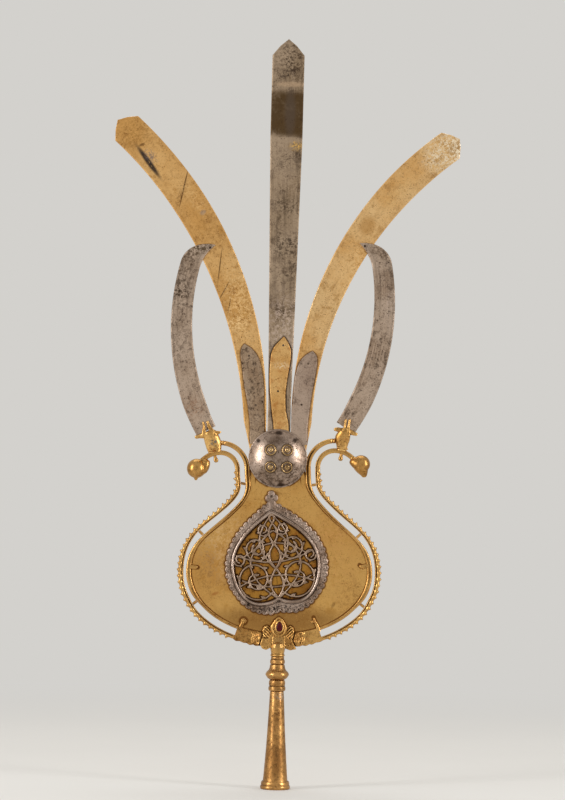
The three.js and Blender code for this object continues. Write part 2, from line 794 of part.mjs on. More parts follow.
// Rails, struts, hilts, buds and sabres
const sabreRivetPlaces = {};
for (const side of sides) {
  const { name, sign } = side;
  const inner = innerPath(side);
  const outer = outerPath(side);
  const stemRows = outerCurlRows + outerTailRows;
  const atStem = Math.sqrt(outerTailRadius ** 2 - (hiltHalfWidth - stemCentreHalfWidth) ** 2);
  const stemLine = neckZ + stemCentreRise + side.rise + outerCurl - outerTailRadius + atStem;
  const foot = new THREE.Vector3(
    sign * hiltHalfWidth + bossShift, 0, stemLine + neck.outer / 2,
  );
  const hiltTurn = radians(side.hiltLean);
  const axis = new THREE.Vector3(sign * Math.sin(hiltTurn), 0, Math.cos(hiltTurn));
  const across = new THREE.Vector3(axis.z, 0, -axis.x);
  const onHilt = (at, u, y) => (
    foot.clone().addScaledVector(axis, at).addScaledVector(across, u).setY(y)
  );
  const alongHilt = new THREE.Quaternion().setFromUnitVectors(upAxis, axis);
  const onPin = (profile) => (
    turned(profile, 10).applyQuaternion(alongHilt).translate(foot.x, foot.y, foot.z)
  );

  // The hilt's pin goes down through the stem and ends below it in a bead.
  const { shank, bead, neck: pinNeck, drop, top } = hiltPin;
  const under = -neck.outer - 2 * fit;
  mesh(`hilt_pin_${name}`, closed(onPin([
    [0, under - drop], [bead * 0.5, under - drop * 0.94], [bead, under - drop * 0.6],
    [pinNeck, under - drop * 0.2], [pinNeck, under], [shank, under], [shank, top], [0, top],
  ])), castGilt);
  const pinHole = toSolid(onPin([
    [0, under - 1], [shank + fit, under - 1], [shank + fit, top + fit], [0, top + fit],
  ]));
  const outerRail = toSolid(sweep(outer, sign)).subtract(pinHole);
  mesh(`outer_rail_${name}`, toGeometry(outerRail), castGilt);
  const innerRail = toSolid(sweep(inner, sign)).subtract(groove)
    .add(toSolid(lug(edgeAt(lugBelow), sign)));
  mesh(`inner_rail_${name}`, toGeometry(innerRail), castGilt);

  // Struts across the slot, cut to the faces of the two rails
  const innerSeat = toSolid(sweep(fattened(inner.slice(0, -innerStemRows)), sign));
  const outerSeat = toSolid(sweep(fattened(outer.slice(0, -stemRows)), sign));
  strutStations.forEach((station, i) => {
    const { point, normal, inner: near, slot } = edgeAt(station);
    const middle = placed(point.addScaledVector(normal, near + slot / 2), 0, sign);
    const turn = new THREE.Quaternion().setFromUnitVectors(
      upAxis, new THREE.Vector3(sign * normal.x, 0, normal.y),
    );
    const half = slot / 2 + strutRadius;
    const bar = turned([[0, -half], [strutRadius, -half], [strutRadius, half], [0, half]], 8)
      .applyQuaternion(turn).translate(middle.x, middle.y, middle.z);
    mesh(`strut_${name}_${strutNames[i]}`, toGeometry(
      toSolid(bar).subtract(innerSeat).subtract(outerSeat),
    ), castGilt);
  });

  // Hilt: a swelling grip, a head with two horns, and jaws over the sabre's squared end
  const body = loft(hiltRings.map(({ at, across: wide, deep }) => (
    Array.from({ length: ringSides }, (_, k) => {
      const angle = (2 * Math.PI * k) / ringSides;
      const forward = jawForward * smoothstep(at, jawFrom, hiltBase);
      return onHilt(at, wide * Math.cos(angle), deep * Math.sin(angle) - forward);
    })
  )));
  const spike = (from, to, radius) => {
    const length = from.distanceTo(to);
    const turn = new THREE.Quaternion().setFromUnitVectors(
      upAxis, to.clone().sub(from).normalize(),
    );
    return turned([
      [0, 0], [radius, 0], [radius * 0.6, length * 0.6], [radius * 0.45, length * 0.94],
      [0, length],
    ], 6).applyQuaternion(turn).translate(from.x, from.y, from.z);
  };
  const jaws = [sabreFront - fit - prongRadius / 2, sabreBack + fit + prongRadius / 2];
  const prongs = jaws.flatMap((y) => [-prongSpread, prongSpread].map((u) => (
    spike(onHilt(prongRoot, u, y), onHilt(hiltHeight, u * 1.1, y), prongRadius)
  )));
  const horns = [-1, 1].map((way) => spike(
    onHilt(hornAt, 0, -jawForward), onHilt(hornAt, way * hornReach, -jawForward), hornRadius,
  ));
  const outerStemSeat = toSolid(sweep(fattened(outer.slice(-stemRows)), sign));
  // Bud at the end of the lower stem
  const stemEnd = placed(outer[outer.length - 1].point, 0, sign);
  const spine = new THREE.CatmullRomCurve3(side.bud.map(([out, down]) => (
    new THREE.Vector3(stemEnd.x + sign * out, 0, stemEnd.z - down)
  )));
  const budRings = Array.from({ length: budRows + 1 }, (_, i) => {
    const at = (i / budRows) * (side.bud.length - 1);
    const low = Math.min(Math.floor(at), side.bud.length - 2);
    const radius = lerp(side.bud[low][2], side.bud[low + 1][2], at - low);
    const centre = spine.getPoint(i / budRows);
    const tangent = spine.getTangent(i / budRows);
    const sideways = new THREE.Vector3(tangent.z, 0, -tangent.x);
    return Array.from({ length: ringSides }, (_, k) => {
      const angle = (2 * Math.PI * k) / ringSides;
      return centre.clone().addScaledVector(sideways, radius * Math.cos(angle))
        .setY(radius * Math.sin(angle));
    });
  });
  mesh(`bud_${name}`, toGeometry(
    toSolid(loft(budRings)).subtract(seatCutter(outer, 4, sign)),
  ), castGilt);

  // Sabre: an arc from the jaws, with a hooked tip over the side blade
  const root = onHilt(hiltBase, sign * side.sabreOffset, 0);
  const [tipX, tipZ] = onBlade(side, side.sabreTip.at, side.sabreTip.out).toArray();
  const span = point2(tipX + sign * (bossShift - root.x), tipZ + bossZ - root.z);
  const { radius: sabreRadius, turn: sabreTurn } = sabreArcOver(span);
  const rowAt = (t) => {
    const turn = sabreTurn - radians(sabreArc) * t;
    const width = t < sabreSwell
      ? lerp(sabreRootWidth, sabreWidth, smoothstep(t, 0, sabreSwell))
      : lerp(sabreWidth, sabreNeckWidth, (t - sabreSwell) / (1 - sabreSwell));
    return {
      centre: point2(
        sign * root.x + sabreRadius * (Math.cos(turn) - Math.cos(sabreTurn)),
        root.z + sabreRadius * (Math.sin(sabreTurn) - Math.sin(turn)),
      ),
      out: point2(Math.cos(turn), -Math.sin(turn)),
      half: width / 2,
    };
  };
  const edge = (t, way) => {
    const { centre, out, half } = rowAt(t);
    return centre.clone().addScaledVector(out, way * half);
  };
  const last = rowAt(1);
  const forward = point2(-last.out.y, last.out.x);
  const tip = last.centre.clone().addScaledVector(forward, sabreTipForward)
    .addScaledVector(last.out, -sabreTipInward);
  const outerTip = new THREE.CubicBezierCurve(
    edge(1, 1),
    edge(1, 1).addScaledVector(forward, sabreTipForward * 0.65),
    tip.clone().addScaledVector(last.out, sabreTipInward * 0.75),
    tip,
  );
  const innerTip = new THREE.QuadraticBezierCurve(
    tip, edge(1, -1).addScaledVector(forward, sabreTipForward * 0.45), edge(1, -1),
  );
  const sabreOutline = [
    ...Array.from({ length: sabreRows + 1 }, (_, i) => edge(i / sabreRows, 1)),
    ...outerTip.getPoints(8).slice(1),
    ...innerTip.getPoints(4).slice(1),
    ...Array.from({ length: sabreRows }, (_, i) => edge(1 - (i + 1) / sabreRows, -1)),
  ].map((point) => point2(sign * point.x, point.y));
  const rivetPlace = point2(sign * (tip.x + sabreRivet.back), tip.y - sabreRivet.drop);
  sabreRivetPlaces[name] = rivetPlace;
  const rivetHole = circle(rivetPlace.x, rivetPlace.y, sabreRivet.shank + fit, 10);
  mesh(`sabre_${name}`, closed(sheet(sabreOutline, sabreBack, sabreThickness, [rivetHole])), steel);
  const sabreSlot = toSolid(
    sheet(grown(sabreOutline, fit), sabreBack + fit, sabreThickness + 2 * fit),
  );
  mesh(`hilt_${name}`, toGeometry(
    union([body, ...prongs, ...horns]).subtract(sabreSlot).subtract(pinHole)
      .subtract(outerStemSeat).subtract(seatCutter(inner, 4, sign)),
  ), castGilt);
}

// Head: everything placed from the boss's centre
const head = new THREE.Group();
head.position.set(bossShift, 0, bossZ);
model.add(head);

// A tongue over a blade, from rows of centre, height and width, held by two rivets.
function addTongue(name, rows, rivets) {
  const outline = [
    ...rows.map(({ x, z, width }) => point2(x + width / 2, z)),
    ...[...rows].reverse().map(({ x, z, width }) => point2(x - width / 2, z)),
  ];
  const holes = rivets.map(({ x, z }) => circle(x, z, tongueRivet.shank + fit, 10));
  mesh(name, closed(sheet(outline, tongueBack, tongueThickness, holes)), steel, head);
  rivets.forEach(({ x, z }, i) => {
    const piece = rivet(tongueRivet, bladeBack, tongueFront);
    mesh(`${name}_rivet_${['upper', 'lower'][i]}`, closed(piece), darkIron, head)
      .position.set(x, 0, z);
  });
}

// Side blades, each with a hook that reaches inward under the centre blade's root
const bladeCentre = ({ blade }, z) => (
  blade.shift + blade.radius - Math.sqrt(blade.radius ** 2 - (z - blade.centreRise) ** 2)
);
for (const side of sides) {
  const { name, sign, blade } = side;
  const rows = Array.from({ length: sideRows + 1 }, (_, i) => {
    const t = i / sideRows;
    const angle = radians(lerp(blade.from, blade.to, t));
    const slim = Math.max(0, 1 - t / blade.widening) ** blade.easing;
    const half = lerp(blade.width, blade.rootWidth, slim) / 2;
    const at = (radius) => point2(
      blade.shift + blade.radius - radius * Math.cos(angle),
      blade.centreRise + radius * Math.sin(angle),
    );
    return {
      centre: at(blade.radius),
      inner: at(blade.radius + half),
      outer: at(blade.radius - half),
      forward: point2(Math.sin(angle), Math.cos(angle)),
    };
  });
  const last = rows[sideRows];
  const apex = last.centre.clone().addScaledVector(last.forward, blade.tip);
  const flank = (corner) => corner.clone().lerp(apex, 0.5)
    .addScaledVector(last.forward, blade.tip * 0.1);
  const hookInner = sign * hookSplit + hookGap;
  const innerEdge = centreRootWidth / 2 + sign * centreShift + bladeGap;
  const outline = [
    point2(hookInner, hookBottom), point2(hookOuter, hookBottom),
    point2(hookBend.out, hookBend.rise), ...rows.map((row) => row.outer), flank(last.outer), apex,
    flank(last.inner), ...rows.map((row) => row.inner).reverse(),
    point2(innerEdge, centreRoot - 2 * fit), point2(hookInner, centreRoot - 2 * fit),
  ].map((point) => point2(sign * point.x, point.y));
  const rivetPlaces = side.tongueRivets.map((z, i) => {
    const [, inward] = [side.tongue[5], side.tongue[2]][i];
    return { x: sign * (bladeCentre(side, z) - inward), z };
  });
  const sabrePlace = sabreRivetPlaces[name].clone().sub(point2(bossShift, bossZ));
  mesh(`gilded_blade_${name}`, closed(sheet(outline, bladeBack, bladeThickness, [
    ...studHoles(studs.filter((stud) => stud.name === `lower_${name}`)),
    ...rivetPlaces.map(({ x, z }) => circle(x, z, tongueRivet.shank + fit, 10)),
    circle(sabrePlace.x, sabrePlace.y, sabreRivet.shank + fit, 10),
  ])), gilt, head);
  mesh(`sabre_rivet_${name}`, closed(rivet(sabreRivet, bladeBack, sabreFront)), darkIron, head)
    .position.set(sabrePlace.x, 0, sabrePlace.y);
  addTongue(`tongue_${name}`, side.tongue.map(([z, inward, width]) => (
    { x: sign * (bladeCentre(side, z) - inward), z, width }
  )), rivetPlaces);
}

// Centre blade and its tongue
const centreLine = (z) => centreShift + centreLean * z;
const centreHalf = (z) => (
  lerp(centreRootWidth, centreFullWidth,
    clamp((z - centreFromRise) / (centreFullRise - centreFromRise), 0, 1)) / 2
);
const centreHeights = [centreRoot, ...Array.from({ length: centreRows + 1 }, (_, i) => (
  lerp(centreFromRise, centreFullRise, i / centreRows)
)), centreShoulder];
const flankHeight = centreShoulder + centreTip * 0.6;
const centreFlank = (way) => point2(
  centreLine(flankHeight) + (way * centreFullWidth) / 4, flankHeight,
);
mesh('centre_blade', closed(sheet([
  ...centreHeights.map((z) => point2(centreLine(z) + centreHalf(z), z)), centreFlank(1),
  point2(centreLine(centreShoulder + centreTip), centreShoulder + centreTip), centreFlank(-1),
  ...[...centreHeights].reverse().map((z) => point2(centreLine(z) - centreHalf(z), z)),
], bladeBack, bladeThickness, [
  ...studHoles(studs.filter((stud) => stud.name.startsWith('upper'))),
  ...centreTongueRivets.map(({ x, z }) => circle(x, z, tongueRivet.shank + fit, 10)),
])), steel, head);
addTongue(
  'tongue_centre', centreTongue.map(([z, x, width]) => ({ x, z, width })), centreTongueRivets,
);

// Boss: a dome on a flat rim, and below the tongues a skirt that reaches the plate
const bossFront = bossBack - bossDome;
const rimFront = bossBack - bossWall;
const capRadius = bossRadius - bossRim;
const capHeight = bossDome - bossWall;
const domeRadius = (capRadius ** 2 + capHeight ** 2) / (2 * capHeight);
const domeCentre = bossFront + domeRadius;
const domeArc = (radius, endY, steps) => {
  const end = Math.acos((domeCentre - endY) / radius);
  return Array.from({ length: steps + 1 }, (_, i) => {
    const angle = (end * i) / steps;
    return [radius * Math.sin(angle), domeCentre - radius * Math.cos(angle)];
  });
};
const dome = toSolid(turnedForward([
  ...domeArc(domeRadius, rimFront, 7), [bossRadius, rimFront], [bossRadius, bossBack],
  ...domeArc(domeRadius - bossWall, bossBack, 4).reverse(),
], 36));
const skirt = toSolid(turnedForward([
  [capRadius, bladeBack], [bossRadius, bladeBack], [bossRadius, rimFront + bossWall / 2],
  [capRadius, rimFront + bossWall / 2], [capRadius, bladeBack],
], 36));
const aboveSkirt = toSolid(new THREE.BoxGeometry(4 * bossRadius, 4 * bossDome, 2 * bossRadius)
  .translate(0, 0, hookBottom - 3 * bladeGap + bossRadius));
const drills = union(studs.map(({ x, z }) => turnedForward([
  [0, 0], [studShank + shankFit, 0], [studShank + shankFit, 2 * bossFront], [0, 2 * bossFront],
]).translate(x, 0, z)));
mesh('boss_dome', toGeometry(dome.add(skirt.subtract(aboveSkirt)).subtract(drills)), steel, head);

// Studs through the boss, the blades, the plate and a plate behind it, each in a ring
mesh('boss_back_plate', closed(sheet([
  point2(-backPlateHalfWidth, -backPlateHalfHeight),
  point2(backPlateHalfWidth, -backPlateHalfHeight),
  point2(backPlateHalfWidth, backPlateHalfHeight),
  point2(-backPlateHalfWidth, backPlateHalfHeight),
], backPlateBack, backPlateThickness, studHoles(studs))), darkIron, head);
const domeSink = (radius) => domeRadius - Math.sqrt(domeRadius ** 2 - radius ** 2);
const ringInner = studRingRadius - studRingWidth;
for (const { name, x, z } of studs) {
  const rise = Math.sqrt(domeRadius ** 2 - x ** 2 - z ** 2);
  const surface = domeCentre - rise;
  const normal = new THREE.Vector3(x, -rise, z).normalize();
  const onDome = new THREE.Quaternion().setFromUnitVectors(upAxis, normal);
  const ring = mesh(`stud_ring_${name}`, closed(turned([
    [ringInner, fit - domeSink(ringInner)], [studRingRadius, fit - domeSink(studRingRadius)],
    [studRingRadius, studRingRise * 0.3], [studRingRadius - studRingWidth / 2, studRingRise],
    [ringInner, studRingRise * 0.5], [ringInner, fit - domeSink(ringInner)],
  ], 16)), steel, head);
  ring.position.set(x, surface, z);
  ring.quaternion.copy(onDome);
  const cap = turned([
    [0, fit], [studHead, fit - domeSink(studHead)], [studHead, 2 * fit],
    [studHead * 0.7, studHeadRise * 0.8], [0, studHeadRise],
  ], 10).applyQuaternion(onDome).translate(0, surface, 0);
  const rear = backPlateBack + fit;
  const front = surface - studHeadRise / 2;
  const shaft = turnedForward([
    [0, rear + rearHeadRise], [rearHeadRadius * 0.7, rear + rearHeadRise], [rearHeadRadius, rear],
    [studShank, rear], [studShank, front], [0, front],
  ]);
  mesh(`boss_stud_${name}`, toGeometry(union([cap, shaft])), steel, head).position.set(x, 0, z);
}

// Medallion: a petalled border round pierced scrolls, over a gilded ground
const medallion = new THREE.Group();
medallion.position.set(medallionX, 0, medallionZ);
medallion.rotation.y = -medallionTurn;
model.add(medallion);

// An ogee: pointed above, round below, with a cusp in the middle of its foot.
function ogee({ half, top, widest, bottom, cusp }, steps) {
  const over = top - widest;
  const under = widest - bottom;
  const parts = [
    new THREE.CubicBezierCurve(
      point2(0, top), point2(0.45 * half, top - 0.23 * over),
      point2(half, widest + 0.46 * over), point2(half, widest),
    ),
    new THREE.CubicBezierCurve(
      point2(half, widest), point2(half, widest - 0.53 * under),
      point2(0.6 * half, bottom), point2(0.22 * half, bottom),
    ),
    new THREE.QuadraticBezierCurve(
      point2(0.22 * half, bottom), point2(0.08 * half, bottom), point2(0, cusp),
    ),
  ];
  const right = parts.flatMap((part, i) => part.getPoints(steps[i]).slice(i ? 1 : 0));
  const left = right.slice(1, -1).reverse().map((point) => point2(-point.x, point.y));
  return [...right, ...left];
}

// Points at even spacing along a closed outline.
function evenly(outline, count) {
  const path = new THREE.CurvePath();
  outline.forEach((point, i) => {
    path.add(new THREE.LineCurve(point, outline[(i + 1) % outline.length]));
  });
  return path.getSpacedPoints(count).slice(0, count);
}

const vineBack = bladeBack - groundThickness - fit;
const medallionFront = bladeBack - medallionThickness;
const openingLine = ogee(opening, [9, 9, 2]).map((point) => (
  point2(point.x + openingShift, point.y)
));
const petals = pushed(
  evenly(ogee(medallionEdge, [24, 24, 3]), petalCount * petalSteps),
  (i) => petalReach * Math.sin((Math.PI * (i % petalSteps)) / petalSteps),
);
const border = toSolid(sheet(petals, bladeBack, medallionThickness, [openingLine]));
const pocket = toSolid(sheet(
  grown(openingLine, groundLap + fit), bladeBack + fit, groundThickness + 2 * fit,
));
const bead = toSolid(sheet(
  grown(openingLine, beadGap + beadWidth), vineBack, vineBack - medallionFront + beadRise,
  [grown(openingLine, beadGap)],
));

// A flat ribbon along points.
function ribbon(points) {
  const run = points.map((point, i) => {
    const before = points[Math.max(i - 1, 0)];
    const after = points[Math.min(i + 1, points.length - 1)];
    const along = after.clone().sub(before).normalize();
    return { point, across: point2(-along.y, along.x).multiplyScalar(vineWidth / 2) };
  });
  return sheet([
    ...run.map(({ point, across }) => point.clone().add(across)),
    ...run.reverse().map(({ point, across }) => point.clone().sub(across)),
  ], vineBack, vineThickness);
}

// A place in the opening, from shares of its half width and half height.
const openingMiddle = (opening.top + opening.bottom) / 2;
const openingHalfHeight = (opening.top - opening.bottom) / 2;
const inOpening = (x, z) => (
  point2(x * opening.half + openingShift, z * openingHalfHeight + openingMiddle)
);

function scrollPoints({ x, z, outer, inner, from, turns, way }, sign) {
  const steps = Math.round(turns * scrollSteps);
  return Array.from({ length: steps + 1 }, (_, i) => {
    const angle = radians(from) + (way * 2 * Math.PI * turns * i) / steps;
    const radius = lerp(outer, inner, i / steps);
    return inOpening(sign * (x + radius * Math.cos(angle)), z + radius * Math.sin(angle));
  });
}

// A pointed leaf from a root, in the direction of `run`.
function leaf(root, run) {
  const across = point2(-run.y, run.x);
  const half = [[-0.3, 0], [-0.15, 0.4], [0.15, 0.5], [0.45, 0.35], [0.75, 0]];
  const outline = [...half, ...half.slice(1, -1).reverse().map(([along, wide]) => [along, -wide])];
  return sheet(outline.map(([along, wide]) => (
    root.clone().addScaledVector(run, along * leafLength).addScaledVector(across, wide * leafWidth)
  )), vineBack, vineThickness);
}

const vines = [];
for (const { sign } of sides) {
  vines.push(ribbon(spineSwell.flatMap((swell, i) => Array.from({ length: 5 }, (_, k) => inOpening(
    sign * swell * Math.sin((Math.PI * k) / 5), lerp(spineNodes[i], spineNodes[i + 1], k / 5),
  )))));
  for (const scroll of scrolls) {
    const points = scrollPoints(scroll, sign);
    const last = points.length - 1;
    const runAt = (i) => points[i].clone().sub(points[i - 1]).normalize();
    vines.push(ribbon(points));
    vines.push(leaf(points[last], runAt(last)));
    const outward = -sign * scroll.way * radians(leafTurn);
    for (const i of scroll.leaves) {
      vines.push(leaf(points[i], runAt(i).rotateAround(point2(0, 0), outward)));
    }
  }

}
const window = toSolid(sheet(
  grown(openingLine, beadGap), vineBack + fit, vineThickness + 2 * fit,
));
const lobes = [[0, 0.8], [-1, -0.6], [1, -0.6]].map(([x, z]) => sheet(
  circle(knobShift + x * knobSpread, knobRise + z * knobSpread, knobLobe, 14),
  bladeBack, medallionThickness,
));
const rivetDrill = turnedForward([
  [0, plateBack], [medallionRivet.shank + fit, plateBack],
  [medallionRivet.shank + fit, 2 * medallionFront], [0, 2 * medallionFront],
], 10).translate(knobShift, 0, knobRise);
mesh('medallion', toGeometry(
  border.add(union(lobes)).subtract(pocket).add(bead).add(union(vines).intersect(window))
    .subtract(toSolid(rivetDrill)),
), silver, medallion);
mesh('medallion_ground', closed(
  sheet(grown(openingLine, groundLap), bladeBack, groundThickness),
), darkGilt, medallion);
mesh('medallion_rivet', closed(rivet(medallionRivet, plateBack, medallionFront)), darkIron, medallion)
  .position.set(knobShift, 0, knobRise);

// Palmette on the crescent, with a garnet in a bezel
const ornament = new THREE.Group();
ornament.position.set(palmetteShift, 0, crescentZ);
model.add(ornament);
const palmetteBack = frameFront - fit;
const palmetteFront = palmetteBack - palmetteDepth;
const doubled = (half) => [
  ...half, ...half.filter(([x]) => x > 0).reverse().map(([x, z]) => [-x, z]),
].map(([x, z]) => point2(x, z));
const heel = palmette.filter(([, z]) => z > palmetteHeel);
const heelFoot = [heel[heel.length - 1][0] - 1, palmetteHeel];
mesh('base_palmette', toGeometry(union([
  sheet(doubled(palmette), palmetteBack, palmetteDepth),
  sheet(doubled([...heel, heelFoot]), bladeBack, bladeBack - palmetteFront),
])), castGilt, ornament);
const teardrop = (extra) => Array.from({ length: 20 }, (_, i) => {
  const angle = (2 * Math.PI * i) / 20;
  const taper = 1 - 0.35 * Math.cos(angle);
  return point2(
    garnetShift - palmetteShift + (garnetHalfWidth * taper + extra) * Math.sin(angle),
    garnetRise + (garnetHalfHeight + extra) * Math.cos(angle),
  );
});
const bezelBack = palmetteFront - fit;
mesh('garnet_bezel', closed(
  sheet(teardrop(bezelWidth + fit), bezelBack, bezelHeight, [teardrop(fit)]),
), castGilt, ornament);
const garnetLayer = (y, extra) => teardrop(extra).map((point) => (
  new THREE.Vector3(point.x, y, point.y)
));
mesh('garnet', closed(loft([
  garnetLayer(bezelBack, 0), garnetLayer(bezelBack - garnetHeight * 0.7, 0),
  garnetLayer(bezelBack - garnetHeight, -garnetHalfWidth * 0.4),
])), garnetRed, ornament);

export default model;
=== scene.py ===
# %% [markdown]
# # The head of a processional standard
# A turned socket carries a gilded plate in an openwork frame, and three tall blades stand
# above it behind a steel boss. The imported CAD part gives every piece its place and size.
# Nearly every visible piece is made again here as a smooth surface, worked out as whole numpy
# arrays in millimetres, so that edges are rubbed, sheets are not quite flat, and castings swell.

# %% Load the frame
import math
import bpy
import numpy as np
from mathutils import Matrix


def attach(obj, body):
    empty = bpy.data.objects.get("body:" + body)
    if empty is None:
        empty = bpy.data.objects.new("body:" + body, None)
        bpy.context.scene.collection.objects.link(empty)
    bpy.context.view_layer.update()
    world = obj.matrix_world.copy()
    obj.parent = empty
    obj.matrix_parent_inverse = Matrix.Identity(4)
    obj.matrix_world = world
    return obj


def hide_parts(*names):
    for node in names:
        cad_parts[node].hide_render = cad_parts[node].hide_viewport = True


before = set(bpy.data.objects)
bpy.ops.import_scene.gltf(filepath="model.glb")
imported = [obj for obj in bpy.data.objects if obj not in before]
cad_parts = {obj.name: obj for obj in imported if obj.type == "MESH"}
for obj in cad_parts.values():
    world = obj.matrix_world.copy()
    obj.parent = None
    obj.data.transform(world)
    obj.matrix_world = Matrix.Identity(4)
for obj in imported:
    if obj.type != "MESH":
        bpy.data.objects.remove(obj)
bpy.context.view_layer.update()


def added(name, data):
    """A new object that shows a mesh, a camera or a lamp, linked to the scene."""
    obj = bpy.data.objects.new(name, data)
    bpy.context.scene.collection.objects.link(obj)
    return obj

# %% [markdown]
# ## Camera
# The photograph looks straight at the front through a long lens, and the object leans
# 1.1 degrees clockwise in it. The model stays upright, and the camera rolls instead.

# %% Camera
VIEW_CENTRE = (0.0, 0.525)     # x and z at the middle of the picture, metres
VIEW_HEIGHT = 1.080            # what the picture covers, metres
CAMERA_DISTANCE = 5.0
ROLL = math.radians(1.107)

camera_data = bpy.data.cameras.new("studio_camera")
camera_data.sensor_fit = "AUTO"
camera_data.sensor_width = 36
camera_data.lens = camera_data.sensor_width * CAMERA_DISTANCE / VIEW_HEIGHT
camera = added("studio_camera", camera_data)
camera.matrix_world = Matrix((
    (math.cos(ROLL), -math.sin(ROLL), 0, VIEW_CENTRE[0]),
    (0, 0, -1, -CAMERA_DISTANCE),
    (math.sin(ROLL), math.cos(ROLL), 0, VIEW_CENTRE[1]),
    (0, 0, 0, 1),
))
bpy.context.scene.camera = camera
bpy.context.scene.view_settings.view_transform = "Standard"
print("lens", round(camera_data.lens, 1), "mm")

# %% [markdown]
# ## From numbers to a mesh
# Nearly every piece is a stack of rings. A ring is a row of points round the piece, and the
# rings follow each other along it. Two ends close with a fan, or the stack closes on itself
# like a hoop. A point may carry four more numbers. Three are its `grain`: where it lies on the
# metal as it was worked, across and along, so that scrape marks can follow a bent blade. The
# last says whether it lies in a hollow or on a ridge, where that is known beforehand.

# %% Rings to a shell
MM = 0.001


def shell(rings, hoop=False):
    """Points, quads and fans of a closed surface through rings of shape (rows, around, 3 or 7)."""
    rings = np.asarray(rings, float)
    rows, around = rings.shape[:2]
    points = rings.reshape(rows * around, -1)
    row = np.arange(rows if hoop else rows - 1)[:, None]
    column = np.arange(around)[None, :]
    beside = (column + 1) % around
    onward = ((row + 1) % rows) * around
    quads = np.stack([row * around + column, row * around + beside, onward + beside,
                      onward + column], -1).reshape(-1, 4)
    fans = np.zeros((0, 3), int)
    if not hoop:
        points = np.vstack([points, rings[0].mean(0), rings[-1].mean(0)])
        k, after = np.arange(around), (np.arange(around) + 1) % around
        start = (rows - 1) * around
        fans = np.vstack([np.stack([0 * k + rows * around, after, k], -1),
                          np.stack([0 * k + rows * around + 1, start + k, start + after], -1)])
    triangles = np.vstack([quads[:, [0, 1, 2]], quads[:, [0, 2, 3]], fans])
    a, b, c = (points[triangles[:, i], :3] for i in range(3))
    if np.einsum("ij,ij->i", a, np.cross(b, c)).sum() < 0:
        quads, fans = quads[:, ::-1], fans[:, ::-1]
    return points, quads, fans

# %% [markdown]
# ## Hollows and ridges
# Old metal is dark where a finger can't reach and bright where hands rub it. Here the dark
# in the hollows is partly that dirt and partly painted shade. To find those places, a copy of
# the surface is averaged with its neighbours again and again. In a hollow the copy rises above
# the surface, and on a ridge it sinks below it. That height is kept on every point as the
# attribute `relief`, from -1 on a ridge to 1 in a hollow.

# %% Relief and pieces
DIRT_AND_SHADE_REACH = 2.6               # how far the dirt and painted shade spread from the given points


def relief_of(mesh, rounds, depth):
    """The averaged surface minus the surface, along the normal, as a share of depth in mm."""
    count = len(mesh.vertices)
    place, normal = np.empty(count * 3), np.empty(count * 3)
    pairs = np.empty(len(mesh.edges) * 2, int)
    mesh.vertices.foreach_get("co", place)
    mesh.vertex_normals.foreach_get("vector", normal)
    mesh.edges.foreach_get("vertices", pairs)
    place, normal = place.reshape(-1, 3), normal.reshape(-1, 3)
    a, b = pairs.reshape(-1, 2).T
    share = 1 / np.maximum(np.bincount(pairs, minlength=count), 1)[:, None]
    averaged = place
    for _ in range(rounds):
        beside = [np.bincount(a, averaged[b, i], count) + np.bincount(b, averaged[a, i], count)
                  for i in range(3)]
        averaged = (averaged + np.stack(beside, -1) * share) / 2
    return np.clip(((averaged - place) * normal).sum(1) / (depth * MM), -1, 1)


def fused(mesh, voxel, polish):
    """One skin round overlapping shells: a voxel remesh, then polish rounds of smoothing."""
    obj = added("rough_casting", mesh)
    remesh = obj.modifiers.new("skin", "REMESH")
    remesh.mode = "VOXEL"
    remesh.voxel_size = voxel * MM
    smooth = obj.modifiers.new("polish", "SMOOTH")
    smooth.factor = 0.5
    smooth.iterations = polish
    ready = obj.evaluated_get(bpy.context.evaluated_depsgraph_get())
    skin = bpy.data.meshes.new_from_object(ready)
    bpy.data.objects.remove(obj)
    return skin


def piece(name, shells, finish, stands_for=(), *, sharp=50, voxel=0, polish=0, rounds=12,
          depth=0.3, dirt_and_shade_round=None):
    """One object of several shells, in millimetres, riding on the part's one body. Points of
    seven numbers bring their own grain and relief. Round the outline points that may be given,
    the front is darkened with dirt and painted shade."""
    points = np.vstack([s[0] for s in shells])
    starts = np.cumsum([0] + [len(s[0]) for s in shells])
    faces = []
    for (_, *groups), start in zip(shells, starts):
        for group in groups:
            faces += (group + start).tolist()
    mesh = bpy.data.meshes.new(name)
    mesh.from_pydata((points[:, :3] * MM).tolist(), [], faces)
    if voxel:
        mesh = fused(mesh, voxel, polish)
        mesh.name = name
    if points.shape[1] == 7:
        grain = mesh.attributes.new("grain", "FLOAT_VECTOR", "POINT")
        grain.data.foreach_set("vector", (points[:, 3:6] * MM).astype(np.float32).ravel())
        relief = points[:, 6]
    else:
        relief = relief_of(mesh, rounds, depth)
    # Darkening round the given outline points on the front: dirt and painted shade.
    if dirt_and_shade_round is not None:
        place = np.array([vertex.co[:] for vertex in mesh.vertices]) / MM
        darkened_round = np.maximum(relief, 1.1 * near(place[:, [0, 2]], dirt_and_shade_round, DIRT_AND_SHADE_REACH))
        relief = np.where(place[:, 1] < -2, darkened_round, relief)
    kept = mesh.attributes.new("relief", "FLOAT", "POINT")
    kept.data.foreach_set("value", relief.astype(np.float32))
    mesh.polygons.foreach_set("use_smooth", np.ones(len(mesh.polygons), bool))
    mesh.set_sharp_from_angle(angle=math.radians(sharp))
    mesh.materials.clear()
    mesh.materials.append(finish)
    obj = added(name, mesh)
    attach(obj, "root")
    if stands_for:
        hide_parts(*stands_for)
    print(f"{name}: {len(mesh.polygons)} faces")

# %% Curves and profiles
def smoothstep(x, low, high):
    """Rises from 0 at low to 1 at high, level at both ends."""
    t = np.clip((x - low) / (high - low), 0, 1)
    return t * t * (3 - 2 * t)


def hill(x, centre, width):
    """A bell of height 1 at centre."""
    return np.exp(-((x - centre) / width) ** 2)


def unit(vectors):
    """The same directions, each of length 1."""
    return vectors / np.linalg.norm(vectors, axis=-1, keepdims=True)


